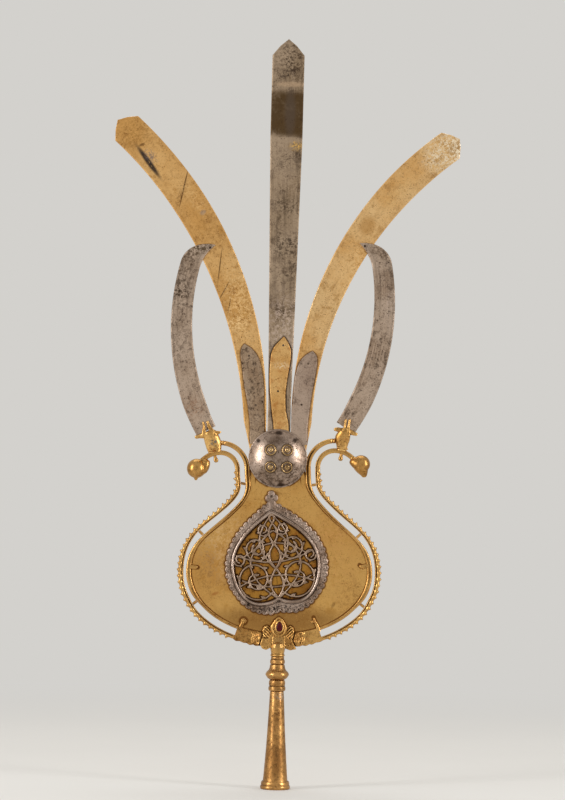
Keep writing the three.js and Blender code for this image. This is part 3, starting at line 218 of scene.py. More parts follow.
def rays(angle):
    """Unit vectors at angles: cosine and sine."""
    return np.stack([np.cos(angle), np.sin(angle)], -1)


def once_round(count):
    """Angles once round a circle, without the last, which is the first again."""
    return np.linspace(0, 2 * math.pi, count, endpoint=False)


def right_of(run):
    """Flat directions turned clockwise by a right angle."""
    return np.stack([run[..., 1], -run[..., 0]], -1)


def upright(flat, y):
    """Flat points of x and z stood up at the depth y."""
    return np.stack([flat[..., 0], y + 0 * flat[..., 0], flat[..., 1]], -1)


def along(points):
    """Distance travelled at each point of a path."""
    return np.concatenate([[0], np.cumsum(np.linalg.norm(np.diff(points, axis=0), axis=1))])


def evenly(points, count):
    """count rows at even distances along a path, with every column carried on a straight line."""
    points = np.asarray(points, float)
    travel = along(points[:, :2])
    s = np.linspace(0, travel[-1], count)
    return np.stack([np.interp(s, travel, column) for column in points.T], -1)


def curved(rows, count):
    """A smooth curve through rows. On each span the four nearest rows are weighed by cubics
    that pass through the inner two and take their slopes from the rows on either side."""
    p = np.array(rows, float)
    p = np.vstack([2 * p[0] - p[1], p, 2 * p[-1] - p[-2]])
    t = np.linspace(0, len(rows) - 1, count)
    i = np.minimum(t.astype(int), len(rows) - 2)
    t = (t - i)[:, None]
    weights = (-t + 2 * t ** 2 - t ** 3, 2 - 5 * t ** 2 + 3 * t ** 3,
               t + 4 * t ** 2 - 3 * t ** 3, t ** 3 - t ** 2)
    return sum(w * p[i + k] for k, w in enumerate(weights)) / 2


def cubic(points, t):
    """A cubic curve from its start to its end, drawn towards two handles on the way."""
    t = np.asarray(t)[:, None]
    a, b, c, d = (np.array(q, float) for q in points)
    return (1 - t) ** 3 * a + 3 * t * (1 - t) ** 2 * b + 3 * t * t * (1 - t) * c + t ** 3 * d


def normals_of(points):
    """Unit normals of a flat path, to the right of the way it runs."""
    return right_of(unit(np.gradient(points, axis=0)))


def rounded(around=24, power=1.0):
    """A unit ring: cosine and sine, whose power below 1 turns the circle into a soft box."""
    a = once_round(around)
    return (np.sign(np.cos(a)) * np.abs(np.cos(a)) ** power,
            np.sign(np.sin(a)) * np.abs(np.sin(a)) ** power)


def strand(path, wide, deep, y, around=20, power=1.0):
    """A ring of half width wide and half depth deep, carried along a flat path at depth y."""
    u, v = rounded(around, power)
    wide, deep, y = (np.broadcast_to(value, len(path))[:, None] for value in (wide, deep, y))
    flat = path[:, None, :] + normals_of(path)[:, None, :] * (wide * u)[..., None]
    return upright(flat, y + deep * v)


def soft_ends(travel, first, last):
    """Shares that close a strand with a quarter circle over a length at each end."""
    head = np.clip(travel / first, 0, 1)
    tail = np.clip((travel[-1] - travel) / last, 0, 1)
    return (np.sqrt(np.maximum(1 - (1 - head) ** 2, 0.004))
            * np.sqrt(np.maximum(1 - (1 - tail) ** 2, 0.004)))


def limb(rows, y, ends=(1.5, 1.5), deep=1.0, most=99, count=60):
    """A strand through rows of x, z and radius. It is deep times as deep as it is wide, and
    never deeper than most."""
    rows = curved(rows, count)
    radius = rows[:, 2] * soft_ends(along(rows[:, :2]), *ends)
    return shell(strand(rows[:, :2], radius, np.minimum(radius * deep, most), y, around=24))


def ball(centre, radius, y, deep=1.0, towards=(0.0, 1.0), stretch=1.0):
    """A swelling about a centre: circles of radius r times sin(a) at distances r times -cos(a)
    along one straight line, stretched along it."""
    a = np.linspace(0.05, math.pi - 0.05, 40)
    path = np.array(centre) + np.outer(-np.cos(a) * radius * stretch, towards)
    r = np.sin(a) * radius
    u, v = rounded(48)
    flat = path[:, None, :] + right_of(np.array(towards)) * (r[:, None] * u)[..., None]
    return shell(upright(flat, y + deep * r[:, None] * v))


def forward(profile, place, around=128):
    """A profile of radius and depth turned about the line of sight through a place."""
    r, y = np.array(profile, float).T[..., None]
    return upright(np.array(place) + r[..., None] * rays(once_round(around)), y)


def refined(profile, step=0.5, soften=3):
    """A profile with a point every step millimetres, its corners averaged soften times."""
    dense = evenly(profile, max(8, int(along(np.array(profile, float))[-1] / step)))
    for _ in range(soften):
        dense[1:-1] = (dense[:-2] + 2 * dense[1:-1] + dense[2:]) / 4
    return dense


def dressed(rings, relief, grain=None):
    """Rings with their grain and a relief that is known beforehand."""
    grain = rings if grain is None else grain
    return np.concatenate([rings, grain, (np.zeros(rings.shape[:2]) + relief)[..., None]], -1)


def waves(x, z, seed, size, lengths=(14, 60), count=9):
    """Slow hammer waves: a sum of sines of random length, way and phase, about size high."""
    chance = np.random.default_rng(seed)
    total = 0
    for _ in range(count):
        way, length, phase = chance.uniform(0, math.pi), chance.uniform(*lengths), chance.uniform(0, 6.3)
        total = total + np.sin((x * math.cos(way) + z * math.sin(way)) * 2 * math.pi / length + phase)
    return total * size / count


def near(flat, lines, reach):
    """1 on the lines, falling to 0 at reach millimetres from the nearest of their points."""
    points = flat.reshape(-1, 2)
    parts = np.array_split(points, max(1, len(points) * len(lines) // 4_000_000))
    shortest = [((part[:, None, :] - lines[None]) ** 2).sum(-1).min(1) for part in parts]
    return np.clip(1 - np.sqrt(np.concatenate(shortest)) / reach, 0, 1).reshape(flat.shape[:-1])

# %% [markdown]
# ## Finishes
# All the metals share one recipe. A colour drifts between three tones in soft clouds, fine
# streaks follow the way the sheet was scraped, and small dark pits break it up. The same
# noises drive the roughness and a shallow bump, so stains are duller than rubbed metal.
# A photograph could give these patterns too, but noise keeps its scale on every piece.

# %% Node helpers
def srgb(red, green, blue):
    """A colour as seen on screen, 0 to 255, as the linear numbers that Blender takes."""
    c = np.array([red, green, blue]) / 255
    linear = np.where(c <= 0.04045, c / 12.92, ((c + 0.055) / 1.055) ** 2.4)
    return (*linear.tolist(), 1.0)


class Tree:
    """A material's nodes, added one call at a time."""

    def __init__(self, name):
        self.material = bpy.data.materials.new(name)
        self.material.use_nodes = True
        self.nodes = self.material.node_tree.nodes
        self.links = self.material.node_tree.links
        self.shader = self.nodes["Principled BSDF"]
        self.place = self.nodes.new("ShaderNodeTexCoord").outputs["Object"]

    def put(self, socket, value):
        """Links a socket to another, or sets it to a plain value."""
        if isinstance(value, bpy.types.NodeSocket):
            self.links.new(value, socket)
        else:
            socket.default_value = value

    def add(self, kind, output, inputs, **settings):
        """A new node with its settings made and its inputs filled. Gives one of its outputs."""
        node = self.nodes.new("ShaderNode" + kind)
        for key, value in settings.items():
            setattr(node, key, value)
        for key, value in inputs.items():
            self.put(node.inputs[key], value)
        return node.outputs[output]

    def attribute(self, name, output="Fac"):
        """What the mesh carries under a name."""
        return self.add("Attribute", output, {}, attribute_name=name)

    def mapped(self, scale, source=None):
        """The place on the object, or another vector, scaled along each axis."""
        return self.add("Mapping", "Vector", {"Vector": source or self.place, "Scale": scale})

    def axis(self, vector, letter):
        """One of a vector's three numbers: X, Y or Z."""
        return self.add("SeparateXYZ", letter, {"Vector": vector})

    def length(self, vector):
        """How long a vector is."""
        return self.add("VectorMath", "Value", {0: vector}, operation="LENGTH")

    def noise(self, vector, scale, detail=4.0, roughness=0.55, distortion=0.0):
        """A cloudy pattern about 0.5, with scale lumps to the metre."""
        return self.add("TexNoise", "Fac", {"Vector": vector, "Scale": scale, "Detail": detail,
                                            "Roughness": roughness, "Distortion": distortion})

    def band(self, value, low, high, start=0.0, end=1.0):
        """value carried from low..high to start..end, held there beyond."""
        if low > high:
            low, high, start, end = high, low, end, start
        return self.add("MapRange", "Result", {"Value": value, "From Min": low, "From Max": high,
                                               "To Min": start, "To Max": end},
                        interpolation_type="SMOOTHSTEP")

    def math(self, kind, a, b):
        """Two numbers added, subtracted or multiplied."""
        return self.add("Math", "Value", {0: a, 1: b}, operation=kind)

    def times(self, first, *others):
        """Any count of numbers multiplied."""
        for other in others:
            first = self.math("MULTIPLY", first, other)
        return first

    def mix(self, share, a, b):
        """Colour a, with a share of it painted over by b."""
        return self.add("Mix", 2, {0: share, 6: a, 7: b}, data_type="RGBA")

    def bump(self, height, strength, distance, **normal):
        """The normal, or another that is given, tilted by a height of at most distance metres."""
        return self.add("Bump", "Normal", {"Height": height, "Strength": strength, "Distance": distance,
                                           **normal})

    def blot(self, x, z, long, across, angle, softness):
        """1 inside an ellipse about (x, z), in millimetres, whose long axis leans from level."""
        leant = self.add("Mapping", "Vector", {
            "Vector": self.place, "Location": (x * MM, 0, z * MM),
            "Rotation": (0, -math.radians(angle), 0), "Scale": (long * MM, 1, across * MM)},
            vector_type="TEXTURE")
        return self.band(self.length(leant), 1 + softness, 1 - softness)

# %% One recipe for the metals
def metal(name, light, middle, dark, *, cloud=14, stain=0.5, streak=0.1, pit=1.0, fleck=0.4, blush=None,
          rough=(0.3, 0.55), dents=0.3, grit=0.15, grime_and_shade=1.0, rub=0.5, flakes=0.0, marks=(), spots=(),
          belt=None):
    """A worn metal. stain, streak, pit, fleck and flakes say how much of each shows, and blush
    is a second colour in small patches. One share darkens the hollows, partly as dirt and partly
    as painted shade, and rub brightens the ridges.
    A belt is a stained band between two heights. marks are blots: x, z, half lengths, lean,
    colour and share. spots are the same, but broken into crumbs. Both lie on the front only.
    Colours are as seen on screen, from 0 to 255."""
    light, middle, dark = srgb(*light), srgb(*middle), srgb(*dark)
    t = Tree(name)
    body = t.mapped((1, 1, 1))
    grain = t.mapped((1, 1, 0.05), t.attribute("grain", "Vector"))
    clouds = t.noise(body, cloud, detail=5, roughness=0.6)
    mottle = t.noise(body, cloud * 7, detail=8, roughness=0.72, distortion=0.5)
    crumbs = t.noise(body, 430, detail=4, roughness=0.7)
    specks = t.noise(body, 640, detail=2, roughness=0.5)
    flake = t.noise(body, 250, detail=6, roughness=0.75, distortion=0.8)
    scrape = t.noise(grain, 520, detail=3, roughness=0.6)
    long_scrape = t.noise(grain, 130, detail=4, roughness=0.6)
    relief = t.attribute("relief")
    front = t.band(t.axis(t.add("TexCoord", "Normal", {}), "Y"), 0.0, -0.4)

    colour = t.mix(t.band(clouds, 0.38, 0.62), middle, light)
    dull = t.times(t.band(mottle, 0.49, 0.64), t.band(clouds, 0.64, 0.40, 0.35, 1.0))
    colour = t.mix(t.times(dull, stain), colour, dark)
    if blush:
        tone, share = blush
        patches = t.times(t.band(t.noise(body, cloud * 4, detail=5, roughness=0.65), 0.54, 0.66), share)
        colour = t.mix(patches, colour, srgb(*tone))
    lines = t.times(t.band(scrape, 0.44, 0.62), t.band(long_scrape, 0.38, 0.66))
    colour = t.mix(t.times(lines, streak), colour, light)
    colour = t.mix(t.times(t.band(long_scrape, 0.50, 0.34), streak * 0.6), colour, dark)
    colour = t.mix(t.times(t.band(crumbs, 0.44, 0.34), fleck * 0.8), colour, light)
    colour = t.mix(t.times(t.band(crumbs, 0.54, 0.68), fleck), colour, dark)
    if belt:
        low, high, tone, share = belt
        z = t.math("ADD", t.axis(t.place, "Z"), t.times(mottle, 0.012))
        inside = t.times(t.band(z, low, low + 0.010), t.band(z, high + 0.010, high))
        inside = t.times(inside, t.band(mottle, 0.3, 0.5, 0.6, 1.0), share)
        colour = t.mix(inside, colour, srgb(*tone))
    if flakes:
        loose = t.times(t.band(flake, 0.56, 0.63), t.band(clouds, 0.62, 0.42, 0.3, 1.0), flakes)
        colour = t.mix(loose, colour, dark)
    for blots, softness, pattern, low, high in ((marks, 0.45, crumbs, 0.24, 0.42),
                                                (spots, 0.6, flake, 0.46, 0.58)):
        for x, z, long, across, angle, tone, share in blots:
            inside = t.blot(x, z, long, across, angle, softness)
            inside = t.times(inside, t.band(pattern, low, high), front, share)
            colour = t.mix(inside, colour, srgb(*tone))
    pits = t.times(t.band(specks, 0.60, 0.68), t.band(mottle, 0.42, 0.56))
    colour = t.mix(t.times(pits, pit), colour, dark)
    # Dark in the hollows, partly dirt and partly painted shade; ridges rubbed bright.
    ragged = t.times(t.math("SUBTRACT", mottle, 0.5), 0.6)
    deep = t.band(t.math("ADD", relief, ragged), 0.08, 0.62)
    colour = t.mix(t.times(deep, grime_and_shade), colour, dark)
    worn = t.times(t.band(relief, -0.12, -0.7), t.band(mottle, 0.34, 0.52))
    colour = t.mix(t.times(worn, rub), colour, light)

    roughness = t.band(clouds, 0.3, 0.7, rough[1], rough[0])
    roughness = t.math("ADD", roughness, t.times(dull, 0.16 * stain))
    roughness = t.math("ADD", roughness, t.times(deep, 0.22))
    roughness = t.math("SUBTRACT", roughness, t.times(worn, 0.08))
    t.put(t.shader.inputs["Base Color"], colour)
    t.put(t.shader.inputs["Roughness"], roughness)
    t.shader.inputs["Metallic"].default_value = 1.0
    normal = t.bump(t.noise(body, 30, detail=3), dents, 0.003)
    scraped = t.math("ADD", t.times(scrape, 0.6), t.times(crumbs, 0.6))
    normal = t.bump(t.math("SUBTRACT", scraped, t.times(pits, 1.5)), grit, 0.0004, Normal=normal)
    t.links.new(normal, t.shader.inputs["Normal"])
    return t.material

# %% Tones and finishes
UMBER, RUST, SOOT = (84, 52, 26), (158, 92, 40), (56, 44, 38)
AMBER, PALE_GOLD = (176, 122, 50), (238, 200, 146)
gilt_dark = (116, 74, 32)
cast_light, cast_mid, cast_dark = (212, 166, 98), (148, 102, 50), (58, 33, 14)

# The plate's first mark darkens it towards the bottom: a painted shade.
plate_gilt = metal(
    "worn_sheet_gilding", (212, 166, 96), (192, 144, 78), gilt_dark, cloud=9, stain=0.22,
    streak=0.05, pit=0.6, fleck=0.2, blush=(AMBER, 0.4), rough=(0.36, 0.5), grit=0.12, rub=0.3,
    grime_and_shade=0.95, flakes=0.12,
    marks=((0, 228, 84, 18, 0, (126, 86, 42), 0.62), (-95, 345, 5, 1.6, 40, UMBER, 0.5),
           (-86, 262, 5, 2, 20, RUST, 0.5), (74, 250, 4, 2, 60, UMBER, 0.4)),
    spots=((-78, 330, 30, 44, 0, PALE_GOLD, 0.4), (84, 300, 22, 50, 10, (210, 158, 96), 0.35),
           (60, 352, 30, 18, -30, (216, 164, 100), 0.4), (-20, 386, 26, 12, 0, AMBER, 0.4),
           (-96, 296, 14, 30, 0, (120, 80, 36), 0.4), (98, 262, 16, 22, 0, (128, 88, 40), 0.4)),
)
# The spots paler than the blade's light tone are painted highlights.
left_blade_gilt = metal(
    "left_blade_gilding", (232, 186, 122), (202, 154, 90), gilt_dark, cloud=13, stain=0.4,
    streak=0.16, fleck=0.34, blush=(AMBER, 0.55), rough=(0.36, 0.52), grime_and_shade=0.7, rub=0.3, flakes=0.3,
    marks=((-187, 843, 25, 3.3, -53, (66, 56, 50), 1.0), (-139, 807, 23, 1.0, 78, UMBER, 0.95),
           (-112, 776, 4, 3, 40, (150, 132, 120), 0.7), (-196, 866, 4, 1.5, 20, UMBER, 0.7),
           (-88, 704, 22, 0.8, 84, UMBER, 0.8), (-81, 672, 14, 0.8, 62, UMBER, 0.8),
           (-74, 652, 10, 0.8, 80, UMBER, 0.7)),
    spots=((-184, 851, 10, 6, -45, (146, 128, 118), 0.8),
           (-143, 796, 12, 4, 70, (140, 98, 52), 0.7),
           (-60, 655, 18, 62, 12, (240, 200, 140), 0.75),
           (-126, 796, 26, 9, -50, (236, 194, 132), 0.6),
           (-204, 880, 22, 16, 0, (150, 108, 54), 0.45),
           (-100, 742, 16, 22, 20, (150, 104, 50), 0.4),
           (-66, 626, 12, 8, 0, (250, 214, 156), 0.7)),
)
# The spots paler than the blade's light tone are painted highlights.
right_blade_gilt = metal(
    "right_blade_gilding", (240, 200, 142), (214, 166, 102), gilt_dark, cloud=13, stain=0.34,
    streak=0.16, blush=(AMBER, 0.55), rough=(0.34, 0.5), grime_and_shade=0.7, rub=0.3, flakes=0.25,
    marks=((110, 762, 12, 10, 60, AMBER, 0.5), (228, 868, 12, 8, 20, (150, 112, 66), 0.5)),
    spots=((218, 866, 32, 22, 35, (255, 236, 204), 1.0),
           (88, 690, 16, 50, -14, (246, 206, 146), 0.7),
           (150, 806, 30, 10, 48, (236, 196, 134), 0.5),
           (60, 600, 10, 30, -10, (160, 114, 58), 0.4)),
)
blade_steel = metal(
    "scraped_blade_steel", (184, 161, 136), (142, 121, 97), (64, 48, 37), cloud=8,
    stain=0.7, streak=0.5, fleck=0.45, rough=(0.38, 0.56), grit=0.2, grime_and_shade=0.9, flakes=0.5,
    belt=(0.883, 0.942, (84, 64, 40), 0.95),
    marks=((3, 912, 32, 7, 90, (92, 78, 66), 0.7), (3, 951, 20, 3.4, 0, (196, 168, 138), 0.6),
           (3, 876, 22, 4, 0, (178, 156, 132), 0.6)),
    spots=((12, 868, 8, 6, 0, (222, 178, 104), 1.0), (6, 984, 20, 24, 0, (64, 46, 32), 0.8),
           (-2, 590, 15, 14, 0, SOOT, 0.6), (0, 965, 10, 5, 20, SOOT, 0.7),
           (4, 733, 22, 15, 0, (52, 40, 30), 0.75), (2, 790, 20, 14, 0, (58, 45, 34), 0.55),
           (4, 846, 20, 16, 0, (56, 44, 34), 0.5), (0, 618, 20, 46, 0, (206, 184, 166), 0.75),
           (4, 820, 20, 20, 0, (190, 166, 140), 0.5), (10, 700, 10, 16, 0, (50, 38, 30), 0.6)),
)
sabre_steel = metal(
    "pitted_sabre_steel", (192, 170, 150), (152, 130, 110), (58, 43, 32), cloud=16,
    stain=0.8, streak=0.6, fleck=0.5, rough=(0.4, 0.6), dents=0.25, grit=0.3, grime_and_shade=0.9, flakes=0.4,
    spots=((-140, 670, 13, 18, 0, (62, 48, 34), 0.95), (-116, 729, 20, 9, 18, (84, 66, 42), 0.9),
           (-134, 708, 12, 22, -20, (80, 62, 44), 0.6), (-140, 610, 8, 40, 0, (84, 68, 54), 0.5),
           (-118, 512, 12, 14, 20, (140, 88, 48), 0.4), (126, 726, 20, 9, -18, (96, 78, 58), 0.6),
           (150, 650, 14, 30, 0, (206, 186, 172), 0.5), (146, 580, 10, 34, 0, (84, 68, 56), 0.5)),
)
tongue_steel = metal(
    "dull_tongue_steel", (184, 162, 144), (156, 134, 117), (58, 43, 33), cloud=18,
    streak=0.3, fleck=0.36, rough=(0.42, 0.6), grit=0.25, grime_and_shade=0.8, flakes=0.3,
)
pitted_steel = metal(
    "pitted_tongue_steel", (176, 152, 128), (146, 122, 98), (50, 36, 27), cloud=24,
    stain=0.9, streak=0.3, fleck=0.6, rough=(0.42, 0.62), dents=0.4, grit=0.5, grime_and_shade=0.8, flakes=0.8,
)
boss_steel = metal(
    "polished_boss_steel", (190, 168, 152), (140, 119, 102), (60, 45, 33), cloud=22,
    stain=0.75, fleck=0.5, rough=(0.27, 0.41), grit=0.14, grime_and_shade=0.9, flakes=0.5,
    marks=((-3.9, 480.6, 5, 2.6, 0, SOOT, 0.95), (-31.4, 469.3, 2.6, 2.6, 0, SOOT, 0.9),
           (17.9, 470.9, 3, 3, 0, SOOT, 0.9), (0.2, 410.7, 5, 2.4, 0, SOOT, 0.95),
           (-6, 471, 12, 6, 0, (84, 66, 54), 0.5)),
    spots=((-4.8, 422, 34, 16, 0, (74, 56, 42), 0.7), (20, 430, 12, 14, 0, (80, 62, 48), 0.6)),
)
stud_steel = metal(
    "brassy_stud_steel", (178, 148, 104), (118, 90, 58), (50, 32, 18), cloud=60,
    stain=0.4, pit=0.3, fleck=0.2, rough=(0.18, 0.3), dents=0.2, grit=0.08, rub=0.8,
)
# The first two spots, dark lines along the border's lower edge, are partly pitting and partly painted
# shade.
medallion_silver = metal(
    "tarnished_silver", (176, 155, 140), (130, 107, 90), (40, 29, 22), cloud=34,
    stain=0.8, fleck=0.55, rough=(0.4, 0.6), dents=0.2, grit=0.3, rub=0.4, flakes=0.5,
    spots=((10, 244, 44, 5, 3, (34, 26, 22), 1.0), (-30, 250, 22, 4, 14, (40, 30, 24), 0.8),
           (-64, 300, 8, 30, 0, (84, 64, 50), 0.6), (60, 322, 8, 26, 0, (84, 64, 50), 0.5)),
)
strand_silver = metal(
    "tracery_silver", (176, 152, 132), (138, 114, 94), (54, 37, 27), cloud=34,
    stain=0.6, pit=0.8, rough=(0.34, 0.52), dents=0.2, grit=0.2,
)
bead_silver = metal(
    "rubbed_silver", (196, 176, 162), (150, 128, 112), (66, 49, 40), cloud=20,
    stain=0.3, streak=0.0, pit=0.0, fleck=0.0, rough=(0.26, 0.36), dents=0.05, grit=0.0, grime_and_shade=0.9,
    rub=0.0,
)
cast_gilt = metal(
    "rubbed_cast_gilding", cast_light, cast_mid, cast_dark, cloud=26, stain=0.6, streak=0.05, pit=0.9,
    blush=(RUST, 0.45), rough=(0.28, 0.46), dents=0.5, grit=0.2, rub=0.8, flakes=0.4,
    marks=((1, 196, 7, 10, 0, (150, 122, 80), 0.4),),
)
hilt_gilt = metal(
    "hilt_gilding", (234, 188, 116), (176, 129, 67), cast_dark, cloud=34, stain=0.7,
    streak=0.05, pit=0.8, blush=(RUST, 0.5), rough=(0.26, 0.4), dents=0.8, rub=0.8, flakes=0.35,
    spots=((-91.4, 465.4, 5, 4.2, 0, (116, 114, 110), 1.0),
           (-93, 456, 5, 4, 0, (150, 78, 34), 0.8)),
)
bud_gilt = metal(
    "smooth_bud_gilding", cast_light, (158, 112, 56), cast_dark, cloud=30, stain=0.55,
    streak=0.05, pit=0.5, fleck=0.2, blush=(RUST, 0.35), rough=(0.22, 0.36), grit=0.06,
)
tongue_gilt = metal(
    "tongue_gilding", (230, 186, 122), (206, 158, 94), gilt_dark, cloud=20, stain=0.35,
    streak=0.15, fleck=0.3, blush=((186, 120, 56), 0.55), rough=(0.36, 0.52), grime_and_shade=0.75,
    rub=0.3, flakes=0.3, spots=((-1.6, 571, 9, 5, 0, (232, 206, 166), 0.9),),
)
turned_gilt = metal(
    "polished_turned_gilding", (198, 150, 90), (136, 94, 50), cast_dark, cloud=30, stain=1.0,
    fleck=0.5, blush=((108, 64, 32), 0.75), rough=(0.32, 0.5), dents=0.7, grit=0.2, flakes=0.9,
    spots=((4, 104, 22, 6, 90, (92, 56, 30), 0.8), (-4, 62, 20, 6, 90, (92, 56, 30), 0.7),
           (6, 128, 8, 6, 0, (188, 172, 154), 0.7), (5, 40, 16, 5, 90, (104, 64, 34), 0.6),
           (8, 138, 5, 5, 0, (84, 56, 34), 0.7)),
)
ground_gilt = metal(
    "dark_ground_gilding", (176, 128, 56), (146, 101, 44), (58, 33, 15), cloud=30,
    stain=0.6, streak=0.05, pit=0.5, fleck=0.2, blush=((140, 66, 24), 0.6), rough=(0.42, 0.6),
    dents=0.4, marks=((40, 262, 26, 20, 20, (112, 68, 26), 0.6),),
)
iron = metal(
    "dark_iron", (104, 88, 74), (70, 56, 46), (34, 26, 22), cloud=60, stain=0.8, pit=0.8,
    fleck=0.3, rough=(0.45, 0.65), grime_and_shade=0.9,
)
print(len(bpy.data.materials), "finishes")

# %% [markdown]
# The garnet is a smooth polished drop. Light enters it, so its colour comes from a dark red
# glassy body with a faint cloud in it, under a clean glossy skin.

# %% Garnet
stone = Tree("garnet_stone")
cloudy = stone.noise(stone.mapped((1, 1, 1)), 220, detail=3)
stone.put(stone.shader.inputs["Base Color"], stone.mix(cloudy, srgb(36, 6, 10), srgb(96, 18, 24)))
stone.shader.inputs["Roughness"].default_value = 0.2
stone.shader.inputs["Specular IOR Level"].default_value = 0.15
garnet_stone = stone.material

# %% [markdown]
# ## The hidden and the small
# Rivets, the washer, the plate behind the boss and the struts keep their CAD meshes, as their
# shape is right. They only need a finish, set on each node's own material slot. All other
# nodes get one too, though a finer piece takes the place of each.

# %% Finishes on the CAD nodes
for name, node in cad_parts.items():
    dark = "rivet" in name or name in ("boss_back_plate", "spigot_washer")
    node.data.materials.clear()
    node.data.materials.append(iron if dark else cast_gilt)
print(len(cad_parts), "nodes finished")

# %% [markdown]
# ## The edge of the body
# The plate, the rails and the crescent all follow one edge: half an ellipse under the belly,
# then two cubic curves up over the shoulder to the neck. Working it out once lets each piece
# be carried along it, a set distance outside.

# %% The edge and the rails' widths
FIT = 0.3                      # clearance between pieces that are set into each other
BELLY = (118.8, 292.1)         # half width and height of the widest point
BELLY_DROP = 82
SHOULDER = np.array([87, 349.9])
SHOULDER_SLOPE = math.radians(40.4)
NECK = (37.2, 414.1)
HANDLES = (30, 22, 28, 22)     # how far the ends of the two cubic curves pull, belly to neck
LEAN_SPAN = (-34, 16)          # the neck leans between these heights, from the neck's own
FOOT_HALF_WIDTH = 54
BOSS = (-4.8, 446.1)           # centre of the boss, x and z
RAIL_DEPTH = 7
STATIONS = np.array([0, 0.45, 0.72, 1.0, 1.85, 2.6, 3.0])
INNER = np.array([4.5, 4.8, 7.0, 7.0, 4.2, 4.8, 7.4])
SLOT = np.array([8.8, 8.6, 4.2, 3.4, 8.2, 6.6, 6.2])
OUTER = np.array([5.5, 6.4, 7.2, 7.2, 4.8, 5.8, 6.6])
SIGN = {"left": -1, "right": 1}
foot_angle = math.acos(FOOT_HALF_WIDTH / BELLY[0])


def eased(station, widths):
    """Widths between stations, level at each one."""
    i = np.clip(np.searchsorted(STATIONS, station, side="left"), 1, len(STATIONS) - 1)
    share = smoothstep(station, STATIONS[i - 1], STATIONS[i])
    return widths[i - 1] + (widths[i] - widths[i - 1]) * share


def under_belly(angle):
    """Points of the ellipse below the belly, with outward unit normals."""
    ray = rays(angle)
    return ray * (BELLY[0], BELLY_DROP) + (0, BELLY[1]), unit(ray * (BELLY_DROP, BELLY[0]))


def edge(station):
    """Points of the right-hand edge at stations 0 (crescent) to 3 (neck), and outward normals."""
    slope = np.array([-math.cos(SHOULDER_SLOPE), math.sin(SHOULDER_SLOPE)])
    after_belly, before_shoulder, after_shoulder, before_neck = HANDLES
    rise = [BELLY, (BELLY[0], BELLY[1] + after_belly), SHOULDER - before_shoulder * slope, SHOULDER]
    draw = [SHOULDER, SHOULDER + after_shoulder * slope, (NECK[0], NECK[1] - before_neck), NECK]

    def at(s):
        low = under_belly(-foot_angle * (1 - s))[0]
        risen, drawn_in = cubic(rise, np.clip(s - 1, 0, 1)), cubic(draw, np.clip(s - 2, 0, 1))
        return np.where(s[:, None] < 1, low, np.where(s[:, None] < 2, risen, drawn_in))

    step = 1e-3
    run = unit(at(np.clip(station + step, 0, 3)) - at(np.clip(station - step, 0, 3)))
    return at(station), right_of(run)


def neck_lean(z):
    """The neck leans sideways to meet the boss: a smooth step in x."""
    return BOSS[0] * smoothstep(z, NECK[1] + LEAN_SPAN[0], NECK[1] + LEAN_SPAN[1])


stations = np.linspace(0, 3, 481)
edge_points, edge_normals = edge(stations)
print("edge length", round(along(edge_points)[-1], 1), "mm")

# %% [markdown]
# ## Rails
# Each rail was cast, filed and rubbed, so its corners are soft. The section is a rounded box
# and a groove down the front splits it into two ridges near the neck. The outer rail's rim
# is a row of small thorns: each rises along the rail for most of its pitch, then drops, and
# swells forward into a knob. No two are the same height, as on hand-filed work.

# %% Bars along a path
def bar(points, normals, widths, depths, sign, groove=0.0, groove_at=0.0, thorns=0.0, knobs=0.0):
    """A rounded bar along points, mirrored by sign. thorns push the outer side out, knobs
    swell it forward, and the groove sinks the front by a bell-shaped cut."""
    u, v = rounded(32, 0.62)
    widths, depths, thorns, knobs, groove = (
        np.broadcast_to(value, len(points))[:, None] for value in (widths, depths, thorns, knobs, groove))
    outer = smoothstep(u, 0.1, 1.0)[None, :]
    across = u * widths / 2 + thorns * outer * (1 - 0.6 * np.abs(v))
    front = v < 0
    cut = groove * hill(u, groove_at, 0.26) * front * np.abs(v)
    depth = v * depths / 2 + cut + front * (0.5 - knobs * smoothstep(u, -0.2, 0.6)) * (np.abs(v) > 0.2)
    flat = points[:, None, :] + normals[:, None, :] * across[..., None]
    return np.stack([sign * flat[..., 0] + neck_lean(flat[..., 1]), depth, flat[..., 1]], -1)


TOOTH_PITCH = 8.5
TOOTH_HEIGHT = 3.4
TOOTH_PEAK = 0.72              # where the ramp ends and the drop begins, as a share of the pitch


def thorn_row(travel, seed):
    """Height of the thorns at each distance: a ramp per pitch, with a random height each."""
    chance = np.random.default_rng(seed)
    phase = (travel - TOOTH_PITCH / 2) / TOOTH_PITCH
    count = np.clip(np.floor(phase).astype(int), 0, 99)
    part = phase - np.floor(phase)
    ramp = np.where(part < TOOTH_PEAK, smoothstep(part, 0.2, TOOTH_PEAK) ** 1.4,
                    1 - smoothstep(part, TOOTH_PEAK, 0.95))
    return ramp * (0.72 + 0.28 * chance.random(100))[count] * (phase > 0)


def arc(centre, radius, start, end, count):
    """Points of an arc and normals towards its centre, with angles in degrees."""
    ray = rays(np.radians(np.linspace(start, end, count)))
    return np.array(centre) + radius * ray, -ray

# %% [markdown]
# Small lugs lap from the frame over the plate and hold it. Each is a tapering finger with a
# round end, forged from the rail, so it is a short strand that starts inside the rail.

# %% Lugs
CLAW_DEPTH, EYELET_DEPTH = -2.2, -1.3


def claw(points, radii):
    """A small tapering finger through flat points, a little flattened, with a round end."""
    rows = [(*p, r) for p, r in zip(points, radii)]
    return limb(rows, CLAW_DEPTH, ends=(0.3, radii[-1]), deep=0.75, most=1.5, count=40)


def eyelet(place, radius):
    """A low round boss with a sunk ring, turned about the line of sight."""
    y = EYELET_DEPTH
    profile = [(0.1, y - 1.5), (radius * 0.4, y - 1.4), (radius * 0.58, y - 0.7),
               (radius * 0.72, y - 1.3), (radius * 0.9, y - 1.1), (radius, y)]
    return shell(forward(refined(profile, step=0.3, soften=1), place, around=40))

